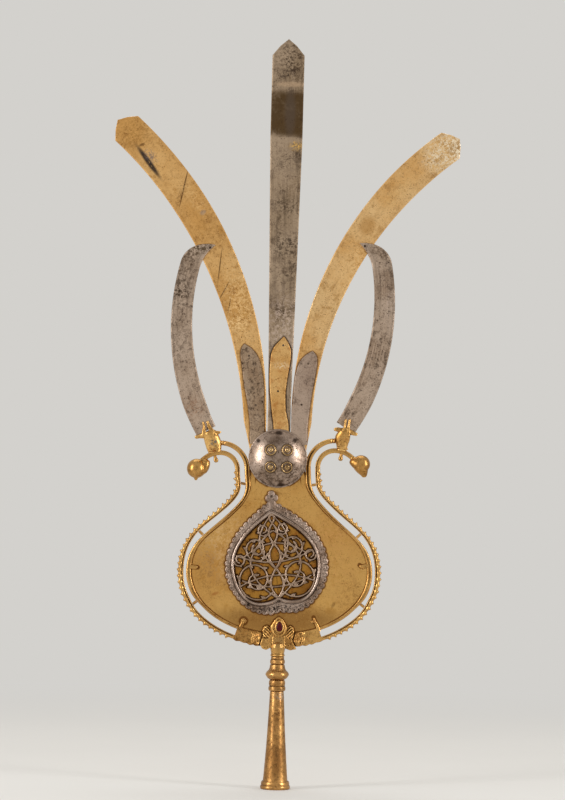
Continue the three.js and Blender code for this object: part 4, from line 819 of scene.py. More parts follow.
# %% Inner and outer rails with their stems
STEM_CENTRE = (77, 15.3)       # centre of the stems' arcs: x, and height over the neck
STEM_DEPTH = 6.4
STEM_RADIUS = STEM_CENTRE[0] - NECK[0] - INNER[-1] / 2
CURL_RADIUS = STEM_CENTRE[0] - NECK[0] - INNER[-1] - SLOT[-1] - OUTER[-1] / 2
TAIL_RADIUS = 33.8
RISE = {"left": 0, "right": 5.7}
INNER_LUG = {                  # flat points of the finger at half height, and its half widths
    "left": ([(-120.5, 297.7), (-115.5, 297.4), (-110.2, 297.0)], (2.8, 2.7, 2.2)),
    "right": ([(121, 303.6), (115.5, 303.2), (110.6, 302.2), (108.4, 304.2)], (2.7, 2.5, 2.2, 1.5)),
}
INNER_EYELET = ((112.2, 300.6), 2.4)
inner, slot_width, outer = (eased(stations, w) for w in (INNER, SLOT, OUTER))
stem_end, lug_lines = {}, []
for side, sign in SIGN.items():
    centre = (STEM_CENTRE[0], NECK[1] + STEM_CENTRE[1] + RISE[side])
    rail = edge_points + edge_normals * (inner / 2)[:, None]
    stem, inward = arc(centre, STEM_RADIUS, 180, 84, 80)
    s = np.linspace(0, 1, len(stem))
    collar = np.cos(s * 170) * smoothstep(s, 0.80, 0.86)
    widths = np.concatenate([inner, INNER[-1] * (1 - 0.14 * s) + collar])
    depths = np.concatenate([0 * stations + RAIL_DEPTH, STEM_DEPTH * (1 - 0.06 * s) + collar])
    groove = np.concatenate([0.5 + 0.4 * smoothstep(stations, 2.0, 2.7),
                             0.9 * (1 - smoothstep(s, 0.2, 0.8))])
    rings = bar(np.vstack([rail, stem]), np.vstack([edge_normals, inward]), widths, depths, sign,
                groove=groove, groove_at=-0.15)
    lugs = [claw(*INNER_LUG[side])]
    lug_lines.append(evenly(INNER_LUG[side][0], 16))
    if side == "right":
        lugs.append(eyelet(*INNER_EYELET))
    piece(f"inner_rail_{side}_cast", [shell(rings), *lugs], cast_gilt,
          [f"inner_rail_{side}"], depth=0.35)

    rail = edge_points + edge_normals * (inner + slot_width + outer / 2)[:, None]
    curl, inward = arc(centre, CURL_RADIUS, 180, 90, 60)
    tail, downward = arc((centre[0], centre[1] + CURL_RADIUS - TAIL_RADIUS), TAIL_RADIUS, 90, 44, 30)
    rise = np.linspace(rail[-1], curl[0], 42)[1:-1]
    path = np.vstack([rail, rise, curl, tail[1:]])
    normals = np.vstack([edge_normals, 0 * rise + (1, 0), inward, downward[1:]])
    bent = len(path) - len(rail)
    s = np.linspace(0, 1, bent)
    rim = along(edge_points + edge_normals * (inner + slot_width + outer)[:, None])
    travel = np.concatenate([rim, rim[-1] + along(path[len(rail) - 1:])[1:]])
    last_tooth = smoothstep(-travel, -rim[-1] - 16, -rim[-1] - 12)
    teeth = thorn_row(travel, 5 + sign) * last_tooth * TOOTH_HEIGHT
    blunt = np.concatenate([1 - 0.35 * hill(stations, 1.0, 0.5), 1 - 0.4 * smoothstep(s, 0, 0.2)])
    widths = np.concatenate([outer, np.full(bent, OUTER[-1])])
    depths = np.concatenate([0 * stations + RAIL_DEPTH, np.full(bent, STEM_DEPTH)])
    groove = np.concatenate([0.9 + 0.3 * stations / 3, 1.2 * (1 - s)])
    rings = bar(path, normals, widths, depths, sign, groove=groove, groove_at=-0.4,
                thorns=teeth * blunt, knobs=teeth * 0.32)
    piece(f"outer_rail_{side}_cast", [shell(rings)], cast_gilt,
          [f"outer_rail_{side}"], depth=0.35)
    stem_end[side] = np.array([sign * path[-1, 0] + neck_lean(path[-1, 1]), path[-1, 1]])
    print(side, "stem ends at", stem_end[side].round(1))

# %% [markdown]
# ## Socket
# The socket was turned on a lathe: a long tapered sleeve on a lipped foot, then a collar, a
# round knop and a neck ring. A profile of radius and height is turned about the upright
# axis. Corners of the profile are rounded by averaging it along its length.

# %% Turned pieces
SPIGOT_HOLE = 6.3              # radius of the hole that runs up through the socket's top
SLEEVE_FOOT = 1.5 + FIT
SLEEVE_HEIGHT, SLEEVE_CAP = 130, 15
SLEEVE_RADII = (17.2, 9.3)     # outside, at the foot and at the top
FOOT_RING = [(15, 0), (19.4, 0), (20.2, 1.6), (20.2, 4.4), (18.7, 5.4), (19.4, 7), (18.9, 9), (18.1, 11),
             (17.5, 11), (17.5, 1.5), (15, 1.5), (15, 0)]
RINGS = {                      # outsides from foot to top, in the order in which they sit
    "socket_collar": [(10.3, 0), (11.5, 1.4), (11.5, 5.6), (10.2, 6.8), (11, 8.2), (11.1, 12.6),
                      (10.1, 15)],
    "socket_knop": [(9.9, 0), (13.2, 2.4), (15.8, 6.4), (15.8, 7.8), (14.6, 10.4), (11.7, 13), (10.4, 16),
                    (9.8, 20.7)],
    "neck_ring": [(9.2, 0), (10, 1.2), (10, 5.4), (8.6, 6.8), (8.8, 7.6), (9.2, 9), (8.7, 10.3)],
}


def turned(profile, around=96, dents=0.0, flutes=0.0, seed=1):
    """The profile turned about Z. Shallow dents are sums of a few slow sine waves, and flutes
    are ten upright waves."""
    a = once_round(around)[None, :]
    chance = np.random.default_rng(seed)
    r, z = profile[:, :1], profile[:, 1:]
    wave = sum(np.sin(k * a + chance.random() * 6 + z * chance.uniform(0.02, 0.12)) / k
               for k in (2, 3, 5, 7))
    r = r * (1 + dents * wave) + np.asarray(flutes).reshape(-1, 1) * np.cos(10 * a)
    return np.stack([r * np.cos(a), r * np.sin(a), z + 0 * a], -1)


def socket_piece(node, profile, base, seed, dents=0.006):
    """A turned hoop on the socket's axis."""
    rings = turned(refined(profile) + (0, base), dents=dents, seed=seed)
    piece(f"{node}_turned", [shell(rings, hoop=True)], turned_gilt, [node], depth=0.25)


height = np.linspace(0, SLEEVE_HEIGHT, 30)
foot, top = SLEEVE_RADII
outside = foot + (top - foot) * height / SLEEVE_HEIGHT - 0.5 * np.sin(math.pi * height / SLEEVE_HEIGHT)
ceiling = SLEEVE_HEIGHT - SLEEVE_CAP
socket_piece("socket_sleeve", [*zip(outside, height), (SPIGOT_HOLE, SLEEVE_HEIGHT), (SPIGOT_HOLE, ceiling),
                               (8.3, ceiling), (15, 0), (foot, 0)], SLEEVE_FOOT, seed=2, dents=0.014)
socket_piece("foot_ring", FOOT_RING, 0, seed=3)
base = SLEEVE_FOOT + SLEEVE_HEIGHT + FIT
for seed, (node, outside) in enumerate(RINGS.items(), 4):
    top = outside[-1][1]
    socket_piece(node, [(SPIGOT_HOLE, 0), *outside, (SPIGOT_HOLE, top), (SPIGOT_HOLE, 0)], base, seed)
    base = base + top + FIT
socket_top = base
crescent_z = socket_top + 12.3
print("socket top", round(socket_top, 1), "crescent", round(crescent_z, 1))

# %% [markdown]
# A palmette will lie on the crescent, and the crescent is darkened round it with dirt and
# painted shade. Its outline, a closed loop through corners read from the right and the left
# of the real one, is therefore drawn first.

# %% Outline of the palmette
PALMETTE = np.array([1.0, crescent_z])
PALMETTE_RIGHT = [
    (-0.1, 41.6), (5.4, 37.0), (9.6, 30.3), (11.4, 26.6), (15.7, 29.6), (19.8, 26.5), (21.0, 21.1),
    (19.7, 14.3), (17.9, 10.2), (20.9, 3.6), (24.3, -2.0), (15.6, -3.9), (9.5, -1.6)]
PALMETTE_LEFT = [
    (-6.1, 36.8), (-10.7, 29.3), (-11.9, 26.3), (-16.1, 29.6), (-20.7, 27.1), (-22.3, 21.6), (-21.2, 15.6),
    (-23.1, 9.5), (-25.2, 3.3), (-22.2, -2.0), (-16.8, -3.9), (-10.8, -0.8)]
PALMETTE_HEART = (-0.5, 12.0)


def closed(corners, count):
    """A closed loop through corners at even distances, averaged four times with its neighbours."""
    loop = evenly(np.vstack([corners, corners[:1]]), count + 1)[:-1]
    for _ in range(4):
        loop = (np.roll(loop, 1, axis=0) + 2 * loop + np.roll(loop, -1, axis=0)) / 4
    return loop


palmette_loop = closed(np.array(PALMETTE_RIGHT + PALMETTE_LEFT[::-1]), 320)
print("palmette", np.ptp(palmette_loop, axis=0).round(1), "mm wide and high")

# %% [markdown]
# ## Crescent
# Below the plate the two rails meet in a solid crescent with the stem under it. Its front is
# carved: a smooth block where each slot ends, then upright ribs and knobs towards the middle,
# and a row of blunt teeth below. The carving is a height over the crescent, a sum of bells
# and waves along it and across it, and the crescent is one bar with that height on its front.

# %% Crescent with its stem
CRESCENT_WIDTH = 18.8
CRESCENT_TEETH, CRESCENT_TOOTH = 13, 1.5               # how many teeth, and their height
FOOT_LUGS = (([(-52.5, 212), (-50.2, 218.5), (-47.2, 225.5)], (3.2, 2.6, 2.4)),
             ([(55, 213), (53, 220), (49.2, 227.5), (47.6, 232.4)], (3.0, 2.3, 1.8, 1.3)))
FOOT_EYELETS = (((-46.7, 226), 3.9), ((46.6, 226.4), 2.6))
WASHER, PEENED_HEAD = 1, 2


def crescent_carving(x, across):
    """Height of the carving at a place across, from -1 at the plate to 1 at the rim."""
    far = np.abs(x)
    face = 1 - np.abs(across) ** 6
    block = 0.5 * smoothstep(far, 34.5, 36.5) * face
    ribs = 0.5 * np.cos((far + 3 * across) * 2 * math.pi / 3.1) * hill(far, 31, 3.6)
    tube = 1.3 * hill(far, 23.5, 2.4) * face
    knobs = 0.5 * np.cos(far * 2 * math.pi / 6) * np.cos(across * 1.7 * math.pi)
    knobs = knobs * smoothstep(-far, -34, -30)
    lip = hill(across, -0.9, 0.09) + 0.5 * hill(across, 0.78, 0.12)
    grain = waves(x, across * 9, 17, 1.0, lengths=(3.2, 10), count=16)
    chisel = 0.4 + 0.6 * smoothstep(-far, -38, -34)
    return block + ribs + tube + knobs * (x > 0) + 0.5 * lip + grain * chisel


low, low_normals = under_belly(np.linspace(-math.pi + foot_angle, -foot_angle, 620))
path = low + low_normals * (CRESCENT_WIDTH / 2)
share = np.linspace(0, CRESCENT_TEETH, len(path))
teeth = CRESCENT_TOOTH * np.abs(np.sin(math.pi * share)) ** 1.3 * (0.7 + 0.3 * np.cos(share * 2.3))
face_u = np.linspace(-1, 1, 48)
u = np.concatenate([face_u, [1.0, 1.0, 0.9, -0.9, -1.0, -1.0]])
y_share = np.concatenate([0 * face_u - 1, [-0.6, 0.6, 1, 1, 0.6, -0.6]])
across = u[None, :] * CRESCENT_WIDTH / 2 + teeth[:, None] * smoothstep(u, 0.6, 1)[None, :]
flat = path[:, None, :] + low_normals[:, None, :] * across[..., None]
carved = crescent_carving(flat[..., 0], u[None, :] + 0 * across) * (y_share == -1)
rim_fall = 0.9 * (np.abs(u) ** 12)[None, :] * (y_share == -1)
crescent = shell(upright(flat, y_share[None, :] * RAIL_DEPTH / 2 - carved + rim_fall))

lugs = [claw(*lug) for lug in FOOT_LUGS] + [eyelet(*spot) for spot in FOOT_EYELETS]
lug_lines += [evenly(points, 20) for points, _ in FOOT_LUGS]
peened = SLEEVE_FOOT + SLEEVE_HEIGHT - SLEEVE_CAP - FIT - WASHER - FIT - PEENED_HEAD
stem = refined([
    (0.2, peened), (6.8, peened), (6.8, peened + PEENED_HEAD), (6, peened + PEENED_HEAD),
    (6, socket_top), (9.4, socket_top), (9.8, socket_top + 0.8), (9.8, socket_top + 2.2),
    (8.6, socket_top + 3.2), (9.0, socket_top + 5.5), (10.2, crescent_z), (9.0, crescent_z + 5),
    (4, crescent_z + 9)], soften=2)
flutes = 0.12 * smoothstep(stem[:, 1], socket_top + 3, socket_top + 6)
trunk_foot = (np.abs(palmette_loop[:, 0]) < 11) & (palmette_loop[:, 1] < 1)
# The crescent is darkened round the palmette's outline: dirt and painted shade.
piece("base_crescent_cast",
      [crescent, *lugs, shell(turned(stem, around=120, dents=0.004, flutes=flutes, seed=8))],
      cast_gilt, ["base_crescent"], depth=0.35, dirt_and_shade_round=palmette_loop[~trunk_foot] + PALMETTE)

# %% [markdown]
# ## Palmette
# A palmette covers the joint of crescent and stem: a pointed arch round the stone, veined
# leaves on both sides, a small wing below each and a broad trunk that runs into the stem.
# It could be sculpted by hand. Here its outline shrinks ring by ring to its middle, and a
# formula for the height gives each ring its depth, so the whole carving is one closed face.

# %% Palmette
ARCH = [                       # x, height and radius along one half of the arch round the stone
    (-0.4, 40.6, 1.2), (3.2, 37.6, 1.5), (7.2, 31.6, 1.7), (8.9, 25.6, 1.7), (7.4, 19.6, 1.6),
    (3.0, 16.2, 1.5), (-0.4, 15.4, 1.3)]


def palmette_height(x, z):
    """Height over the face: a trunk, slanting veins on the leaves, a rib along each wing, and
    fine tool marks made of short waves."""
    side = np.abs(x)
    trunk = 0.9 * smoothstep(-side, -9.5, -7) * smoothstep(-z, -17, -13)
    leaf = smoothstep(side, 9, 12) * smoothstep(z, 11, 15)
    veins = 0.55 * np.cos((z - side) / math.sqrt(2) * 2 * math.pi / 3.3) * leaf
    fold = -0.9 * hill(z, 12.5, 1.3) * smoothstep(side, 12, 15)
    rib = 0.6 * hill(z - (9.5 - 0.45 * side), 0, 1.6) * smoothstep(side, 10, 13)
    swell = 0.7 * hill(side, 17, 5) * hill(z, 21, 6)
    marks = waves(x, z, 23, 0.7, lengths=(1.8, 4.5), count=22)
    return trunk + veins + fold + rib + swell + marks * (1 - 0.5 * leaf)


s = np.concatenate([[1, 1, 0.985, 0.955], np.linspace(0.93, 0.02, 46)])[:, None, None]
flat = PALMETTE_HEART + (palmette_loop - PALMETTE_HEART) * s
top = -5.5 - palmette_height(flat[..., 0], flat[..., 1])
top[0], top[1], top[2], top[3] = -2.6, -4.5, -5.1, (top[4] - 5.3) / 2
face = shell(upright(flat + PALMETTE, top))
arch = [limb([(sign * x + PALMETTE[0], z + PALMETTE[1], r) for x, z, r in ARCH], -6.9, ends=(0.5, 0.5))
        for sign in (-1, 1)]
piece("base_palmette_cast", [face, *arch], cast_gilt, ["base_palmette"], rounds=10)

# %% Stone and bezel
GARNET = (1.8, crescent_z + 28.3)
STONE_HALF_WIDTH, STONE_HALF_HEIGHT, STONE_TAPER = 4, 6.4, 0.35
LIP = [(FIT, -7.5), (FIT, -9.0), (0.8, -9.4), (1.5, -9.3), (2.3, -8.6), (2.7, -7.0)]   # growth, depth


def teardrop(grow):
    """The stone's outline: an ellipse that narrows upward, grown by a distance."""
    a = once_round(96)
    half = STONE_HALF_WIDTH * (1 - STONE_TAPER * np.cos(a)) + grow
    return np.stack([GARNET[0] + half * np.sin(a), GARNET[1] + (STONE_HALF_HEIGHT + grow) * np.cos(a)], -1)


def loop_rings(sections):
    """Rings from pairs of a flat loop and a depth, or depths, for every point of it."""
    return np.array([upright(loop, y) for loop, y in sections])


dome = [(0, -7.5), (0, -8.8)]
dome += [(-STONE_HALF_WIDTH * (1 - math.cos(a)) * 0.95, -8.8 - 1.5 * math.sin(a))
         for a in np.linspace(0.15, 1.5, 10)]
piece("garnet_bezel_cast", [shell(loop_rings([(teardrop(g), y) for g, y in LIP]), hoop=True)],
      cast_gilt, ["garnet_bezel"])
piece("garnet_cut", [shell(loop_rings([(teardrop(g), y) for g, y in dome]))], garnet_stone,
      ["garnet"])

# %% [markdown]
# ## Hilts and buds
# Each sabre stands in a small animal head: a swelling neck, two ears and a pair of blunt
# prongs in front of the blade with another pair behind it. The outer rail ends in a heavy
# bud. Limbs and balls overlap, and one skin is drawn round them, as wax was modelled once
# before it was cast. The two sides were made by hand and differ, so each has its own rows.

# %% Rows of the hilts and buds
HILT_HALF_WIDTH = 86.8         # how far a hilt's foot stands from the boss's middle line
HILT_LEAN = {"left": 15.9, "right": 9.5}
PRONG_DEPTHS = (-7.0, -2.0)    # in front of the blade and behind it
BODY = {                       # height along the hilt, half width, half depth, step aside
    "left": [(-3, 8.2, 4.4, 1.0), (1, 9.3, 4.8, 1.4), (5, 10.3, 5.6, 1.8), (10, 10.9, 6.6, 2.2),
             (15, 10.8, 7.0, 2.0), (19, 10.3, 6.9, 1.6), (23, 9.8, 6.2, 1.2), (26, 8.6, 5.2, 0.8),
             (29, 5.0, 4.0, 0.4)],
    "right": [(-3, 6.6, 4.4, -0.4), (1, 6.9, 4.8, -0.8), (6, 8.0, 6.0, -1.4), (11, 9.7, 7.0, -2.2),
              (15, 10.2, 7.0, -2.4), (19, 9.4, 6.6, -1.6), (24, 7.6, 5.6, -0.6), (28, 6.0, 4.6, 0),
              (31, 3.8, 3.6, 0)],
}
EARS = {                       # rows of x, z and radius, here and below
    "left": ([(-100, 476.0, 5.2), (-106.5, 475.0, 4.0), (-111.5, 473.8, 2.9), (-117.4, 472.2, 2.2)],
             [(-96, 477, 5.4), (-90, 478.2, 3.9), (-85.6, 479.4, 2.4), (-81.4, 480.6, 0.7)]),
    "right": ([(85, 483.2, 4.8), (79.5, 485.4, 3.8), (74.6, 486.7, 3.0), (69.8, 486.5, 1.9)],
              [(87, 484.2, 4.8), (92.5, 483.2, 3.7), (97.4, 481.6, 2.8), (102.2, 480.0, 2.1)]),
}
PRONGS = {
    "left": ([(-104.0, 474, 3.8), (-105.2, 479.5, 2.6), (-105.0, 486, 1.7), (-105.8, 490.4, 1.5),
              (-107.0, 494, 1.3)],
             [(-91.2, 474, 4.2), (-93.4, 479.4, 3.7), (-97.2, 485.6, 2.6), (-99.3, 490.2, 2.0),
              (-100.9, 495, 1.4)]),
    "right": ([(84.8, 478, 3.0), (84.5, 485, 2.1), (84.8, 491, 1.6), (85.3, 496, 1.5), (86, 501, 1.3)],
              [(88.6, 478, 3.2), (89.7, 485, 2.2), (90.0, 491, 1.8), (90.5, 496, 1.6), (91.3, 501, 1.4)]),
}
BUDS = {                       # necks start at the stem's end. A ball: centre, radius, way, stretch
    "left": dict(neck=[(-2.5, 2.5, 3.5), (0.4, -0.4, 3.7), (3.6, -4.0, 4.6), (8, -9, 8.0), (13, -15, 9.5)],
                 ball=((-114.3, 430.5), 13.0, (-0.52, -0.85), 1.02),
                 lobe=[(-101.6, 443.6, 4.8), (-102.2, 437, 6.4), (-105.0, 430.6, 7.0), (-109, 427, 6.5)],
                 beak=[(-114.0, 425, 6.0), (-114.6, 419.4, 3.4), (-114.9, 414.2, 1.8)]),
    "right": dict(neck=[(-2.5, 2.5, 3.4), (0.4, -0.2, 3.7), (4, -2.6, 5.4), (9, -5, 8.2), (15, -8, 9.5)],
                  ball=((108.1, 440.9), 11.6, (0.80, -0.60), 1.04),
                  lobe=[(94.6, 447.4, 4.8), (96.8, 444.6, 6.4), (101.6, 442.2, 8.8), (106, 441, 10.4)],
                  beak=[(107.0, 438, 10.0), (110.2, 431.4, 7.6), (111.8, 426.4, 4.8), (112.1, 422.4, 2.4)]),
}

# %% Hilts, pins and buds
at_stem = math.sqrt(TAIL_RADIUS ** 2 - (HILT_HALF_WIDTH - STEM_CENTRE[0]) ** 2)
hilt_frame = {}
for side, sign in SIGN.items():
    line = NECK[1] + STEM_CENTRE[1] + RISE[side] + CURL_RADIUS - TAIL_RADIUS + at_stem
    foot = np.array([sign * HILT_HALF_WIDTH + BOSS[0], line + OUTER[-1] / 2])
    turn = math.radians(HILT_LEAN[side])
    axis = np.array([sign * math.sin(turn), math.cos(turn)])
    aside = right_of(axis)
    hilt_frame[side] = (foot, axis, aside)

    rows = curved(BODY[side], 90)
    close = soft_ends(along(rows[:, :2]), 1.0, 3.0)
    path = foot + rows[:, :1] * axis + rows[:, 3:] * aside
    forward_step = -4.5 * smoothstep(rows[:, 0], 10, 29)
    parts = [shell(strand(path, rows[:, 1] * close, rows[:, 2] * close, forward_step, around=40))]
    parts += [limb(ear, -4.6, ends=(0.5, 1.6), deep=0.8) for ear in EARS[side]]
    parts += [limb(prong, y, ends=(0.5, 1.4), deep=0.85, most=1.4)
              for prong in PRONGS[side] for y in PRONG_DEPTHS]
    belt = [(*(foot + aside * u + axis * 1.8), 1.1) for u in (-7.6, 0, 7.6)]
    parts.append(limb(belt, -4.2, ends=(1, 1), deep=1.4))
    piece(f"hilt_{side}_cast", parts, hilt_gilt, [f"hilt_{side}"], voxel=0.42, polish=4,
          rounds=14, depth=0.35)

    under = -OUTER[-1] - 0.6
    pin = curved([(0.3, under - 8.6), (2.2, under - 8.0), (3.1, under - 5.4), (2.4, under - 2.6),
                  (2.2, under - 1.2), (2.3, under), (1.9, under + 0.5), (1.9, 6)], 60)
    a = once_round(40)
    u, y = pin[:, :1] * np.cos(a), pin[:, :1] * np.sin(a)
    hole = 1.6 * np.exp(-((u ** 2 + (pin[:, 1:2] - under + 5.2) ** 2) / 1.3)) * (y < 0)
    flat = foot + u[..., None] * aside + (pin[:, 1:2] + 0 * u)[..., None] * axis
    piece(f"hilt_pin_{side}_cast", [shell(upright(flat, y + hole))], cast_gilt,
          [f"hilt_pin_{side}"])

    bud = BUDS[side]
    x0, z0 = stem_end[side]
    centre, size, towards, stretch = bud["ball"]
    parts = [ball(centre, size, 0, towards=towards, stretch=stretch, deep=0.92),
             limb([(x0 + sign * x, z0 + z, r) for x, z, r in bud["neck"]], 0, ends=(0.5, 4)),
             limb(bud["lobe"], -1.0, ends=(4, 3)), limb(bud["beak"], -0.5, ends=(0.5, 1.0))]
    piece(f"bud_{side}_cast", parts, bud_gilt, [f"bud_{side}"], voxel=0.5, polish=18,
          rounds=16, depth=0.5)

# %% [markdown]
# ## Blades and what lies on them
# Every blade is a plank between two edge lines: a flat back, a front that swells a little
# across its width, and corners rubbed round. A grain runs with it, so that scrape marks
# follow the curve. The side blades bend outward on an arc. Short tongues strengthen them
# where they leave the boss, and a painted shade darkens the blade round each tongue. So the
# tongues' outlines come first, and the relief of a blade rises over the last few millimetres
# before them.

# %% Planks between two edges
def plank(left, right, back, thickness, *, count, seed, across=24, crown=0.25, bevel=0.7, nicks=0.0,
          corner=-0.3, halo=None, reach=2.4):
    """Rows between matching points of two edges. Across the front the height follows one minus
    the square of the share across, and falls by the bevel at the corners. The relief is
    corner on the bevels, rubbed bright below 0 and painted shade above it, a little dirt beside
    them, and about 0.75 at the halo's points, a painted shade round what lies on the plank."""
    left, right = evenly(left, count), evenly(right, count)
    t = np.sin(np.linspace(-1, 1, across) * math.pi / 2)
    wide = np.linalg.norm(right - left, axis=1)[:, None]
    chance = np.random.default_rng(seed)
    worn = nicks * np.convolve(chance.random(count), np.ones(5) / 5, mode="same")[:, None]
    inward = 1 - 2 * worn * (np.abs(t) > 0.9) / np.maximum(wide, 4)
    share = np.concatenate([(t * inward + 1) / 2, 1 + 0 * worn, 0 * worn], axis=1)
    flat = left[:, None, :] * (1 - share[..., None]) + right[:, None, :] * share[..., None]
    fall = np.minimum(bevel, wide / 8)
    inset = (1 - np.abs(t)) * wide / 2
    drop = fall * np.clip(1 - inset / np.maximum(fall, 1e-3), 0, 1) ** 2
    face = flat[:, :across]
    ease = waves(face[..., 0], face[..., 1], seed + 40, 0.16) * (1 - t ** 8)
    front = back - thickness + crown * (1 - (1 - t ** 2) * np.minimum(wide / 20, 1)) + drop - ease
    y = np.concatenate([front, back + 0 * worn, back + 0 * worn], axis=1)
    relief = corner * np.clip(1 - inset / (bevel * 1.3), 0, 1) + 0.24 * hill(inset, 3.2, 2.4) - 0.06
    if halo is not None:
        # Painted shade round the halo's points, which outline the tongues lying on the plank.
        relief = np.maximum(relief, 0.85 * near(face, halo, reach) - 0.1)
    relief = np.concatenate([relief, 0 * worn, 0 * worn], axis=1)
    travel = along((left + right) / 2)[:, None]
    grain = np.stack([share * wide, y, travel + 0 * share], -1)
    return shell(dressed(upright(flat, y), relief, grain))

# %% Where the side blades run
BLADE_BACK, BLADE_THICK = -1.3, 2.0
SIDE_BLADE = {                 # the arc and its angles in degrees, the widths, and the tip's length
    "left": dict(radius=542.5, shift=31.6, rise=37.1, start=1.5, end=48.2, root=30.5, width=45.3,
                 widening=0.72, easing=1.6, tip=16.6),
    "right": dict(radius=475.6, shift=30.8, rise=43.2, start=0.7, end=53.7, root=27.5, width=42.8,
                  widening=0.85, easing=1.3, tip=15.3),
}


def side_blade_edges(b):
    """Inner and outer edge of a side blade: an arc whose half width grows from root to tip."""
    t = np.linspace(0, 1, 160)
    angle = np.radians(b["start"] + (b["end"] - b["start"]) * t)
    narrowing = (b["root"] - b["width"]) * np.maximum(0, 1 - t / b["widening"]) ** b["easing"]
    half = ((b["width"] + narrowing) / 2)[:, None]
    ray = np.stack([-np.cos(angle), np.sin(angle)], -1)
    centre = np.array([b["shift"] + b["radius"], b["rise"]])
    ahead = np.array([math.sin(angle[-1]), math.cos(angle[-1])])
    apex = centre + ray[-1] * b["radius"] + ahead * b["tip"]
    lines = (centre + ray * (b["radius"] + half), centre + ray * (b["radius"] - half))
    return [np.vstack([line, (line[-1] + apex) / 2 + ahead * b["tip"] * 0.1, apex]) for line in lines]


def middle_of(b, z):
    """Sideways place of a side blade's middle line at a height over the boss."""
    return b["shift"] + b["radius"] - math.sqrt(b["radius"] ** 2 - (z - b["rise"]) ** 2)


def mirrored(sign, *lines):
    """Edges drawn for the right side, mirrored by sign and moved to the boss."""
    return [np.array(line) * (sign, 1) + BOSS for line in lines]

# %% Where the tongues lie
TONGUE_BACK, TONGUE_THICK = -3.6, 1.2
CENTRE_TONGUE = [              # height, sideways place and width
    (22, 5, 19.5), (46, 3.2, 20.6), (63, 0.2, 19.4), (79, -1.3, 20.2), (93, -1.8, 22),
    (113, -1, 25.2), (132, 1, 27.4), (142, 1.9, 26.6), (151, 3, 21), (159, 4.4, 10), (164.3, 5.2, 1)]
SIDE_TONGUE = {                # height, how far inside the blade's middle line, and width
    "left": [(19, 3.4, 19), (30, 2.8, 20), (45, 2.8, 20.2), (72, 1.5, 22.5), (99, 1, 27.2),
             (126, 0.5, 26.4), (139, -0.6, 23), (148, -2.2, 14), (153.6, -3.7, 1.5)],
    "right": [(19, 3.2, 21.6), (30, 2.6, 22.6), (46, 2.6, 23.2), (80, 1.2, 25), (107, 1, 27.6),
              (122, 0.6, 26.6), (131.6, 0, 24), (140, -1.2, 15), (145.5, -2.1, 1.5)],
}
tongue_rows = {"centre": CENTRE_TONGUE}
for side, sign in SIGN.items():
    tongue_rows[side] = [(z, sign * (middle_of(SIDE_BLADE[side], z) - inward), width)
                         for z, inward, width in SIDE_TONGUE[side]]
tongue_edges = {}
for side, rows in tongue_rows.items():
    z, x, width = curved(rows, 160).T
    tongue_edges[side] = [np.stack([x + way * width / 2, z], -1) + BOSS for way in (-1, 1)]
print({side: lines[0][-1].round(1).tolist() for side, lines in tongue_edges.items()})

# %% Side blades and centre blade
ROOT_FOOT, ROOT_TOP = -19, 3.9                          # heights of a side blade's broad root
ROOT_OUTSIDE = [(31.2, ROOT_FOOT), (37.2, ROOT_TOP), (38.5, 13.6)]
CENTRE_HEIGHTS = np.array([4.5, 79, 122.9, 166.8, 210.6, 254.5, 298.4, 342.3, 386.1, 430, 544])
CENTRE_WIDTHS = (30.8, 43.4)                            # up to the second height, and at the last but one
CENTRE_APEX, CENTRE_FLANK = 566, 0.6                    # the tip's height, and where its side bends
LEAN = (0.3, 0.0069)                                    # middle line: x, and x gained per millimetre

for side, sign, finish in (("left", -1, left_blade_gilt), ("right", 1, right_blade_gilt)):
    inside, outside = side_blade_edges(SIDE_BLADE[side])
    hook = 0.4 + sign * 1.1
    root = mirrored(sign, [(hook, ROOT_FOOT), (hook, ROOT_TOP)], ROOT_OUTSIDE[:2])
    body = mirrored(sign, np.vstack([[(16.8 + sign * 0.3, ROOT_TOP)], inside]),
                    np.vstack([ROOT_OUTSIDE[1:], outside]))
    piece(f"gilded_blade_{side}_worn", [
        plank(*root, BLADE_BACK, BLADE_THICK, count=12, seed=1),
        plank(*body, BLADE_BACK, BLADE_THICK, count=460, across=36, seed=2 + sign, nicks=0.3,
              halo=np.vstack(tongue_edges[side])),
    ], finish, [f"gilded_blade_{side}"], sharp=40)

z = CENTRE_HEIGHTS
root_width, full_width = CENTRE_WIDTHS
half = (root_width + (full_width - root_width) * np.clip((z - z[1]) / (z[-2] - z[1]), 0, 1)) / 2
flank_z = z[-1] + (CENTRE_APEX - z[-1]) * CENTRE_FLANK
edges = []
for way in (-1, 1):
    rows = np.stack([LEAN[0] + LEAN[1] * z + way * half, z], -1)
    tip = [(LEAN[0] + LEAN[1] * flank_z + way * full_width / 4, flank_z),
           (LEAN[0] + LEAN[1] * CENTRE_APEX, CENTRE_APEX)]
    edges.append(np.vstack([rows, tip]) + BOSS)
centre_plank = plank(*edges, BLADE_BACK, BLADE_THICK, count=460, across=36, seed=5, nicks=0.4,
                     halo=np.vstack(tongue_edges["centre"]), reach=3.4)
piece("centre_blade_worn", [centre_plank], blade_steel, ["centre_blade"], sharp=40)

# %% Tongues
TONGUE_FINISHES = {"centre": (tongue_gilt, "gilt_sheet"), "left": (pitted_steel, "steel"),
                   "right": (tongue_steel, "steel")}
for side, (finish, slot) in TONGUE_FINISHES.items():
    # corner 0.6 darkens the tongues' bevels: a painted shade along their edges.
    tongue = plank(*tongue_edges[side], TONGUE_BACK, TONGUE_THICK, crown=0.15, bevel=0.8, count=160,
                   across=30, seed=len(side) + 11, nicks=0.5, corner=0.6)
    piece(f"tongue_{side}_worn", [tongue], finish, [f"tongue_{side}"], sharp=40)

# %% [markdown]
# ## Sabres
# A sabre runs from its hilt to the side blade it is riveted to. Its arc is fixed, so the
# radius has to follow from the distance between those two places: that distance squared is
# a quadratic in the radius. The tip is a pair of cubic curves that hook inward.

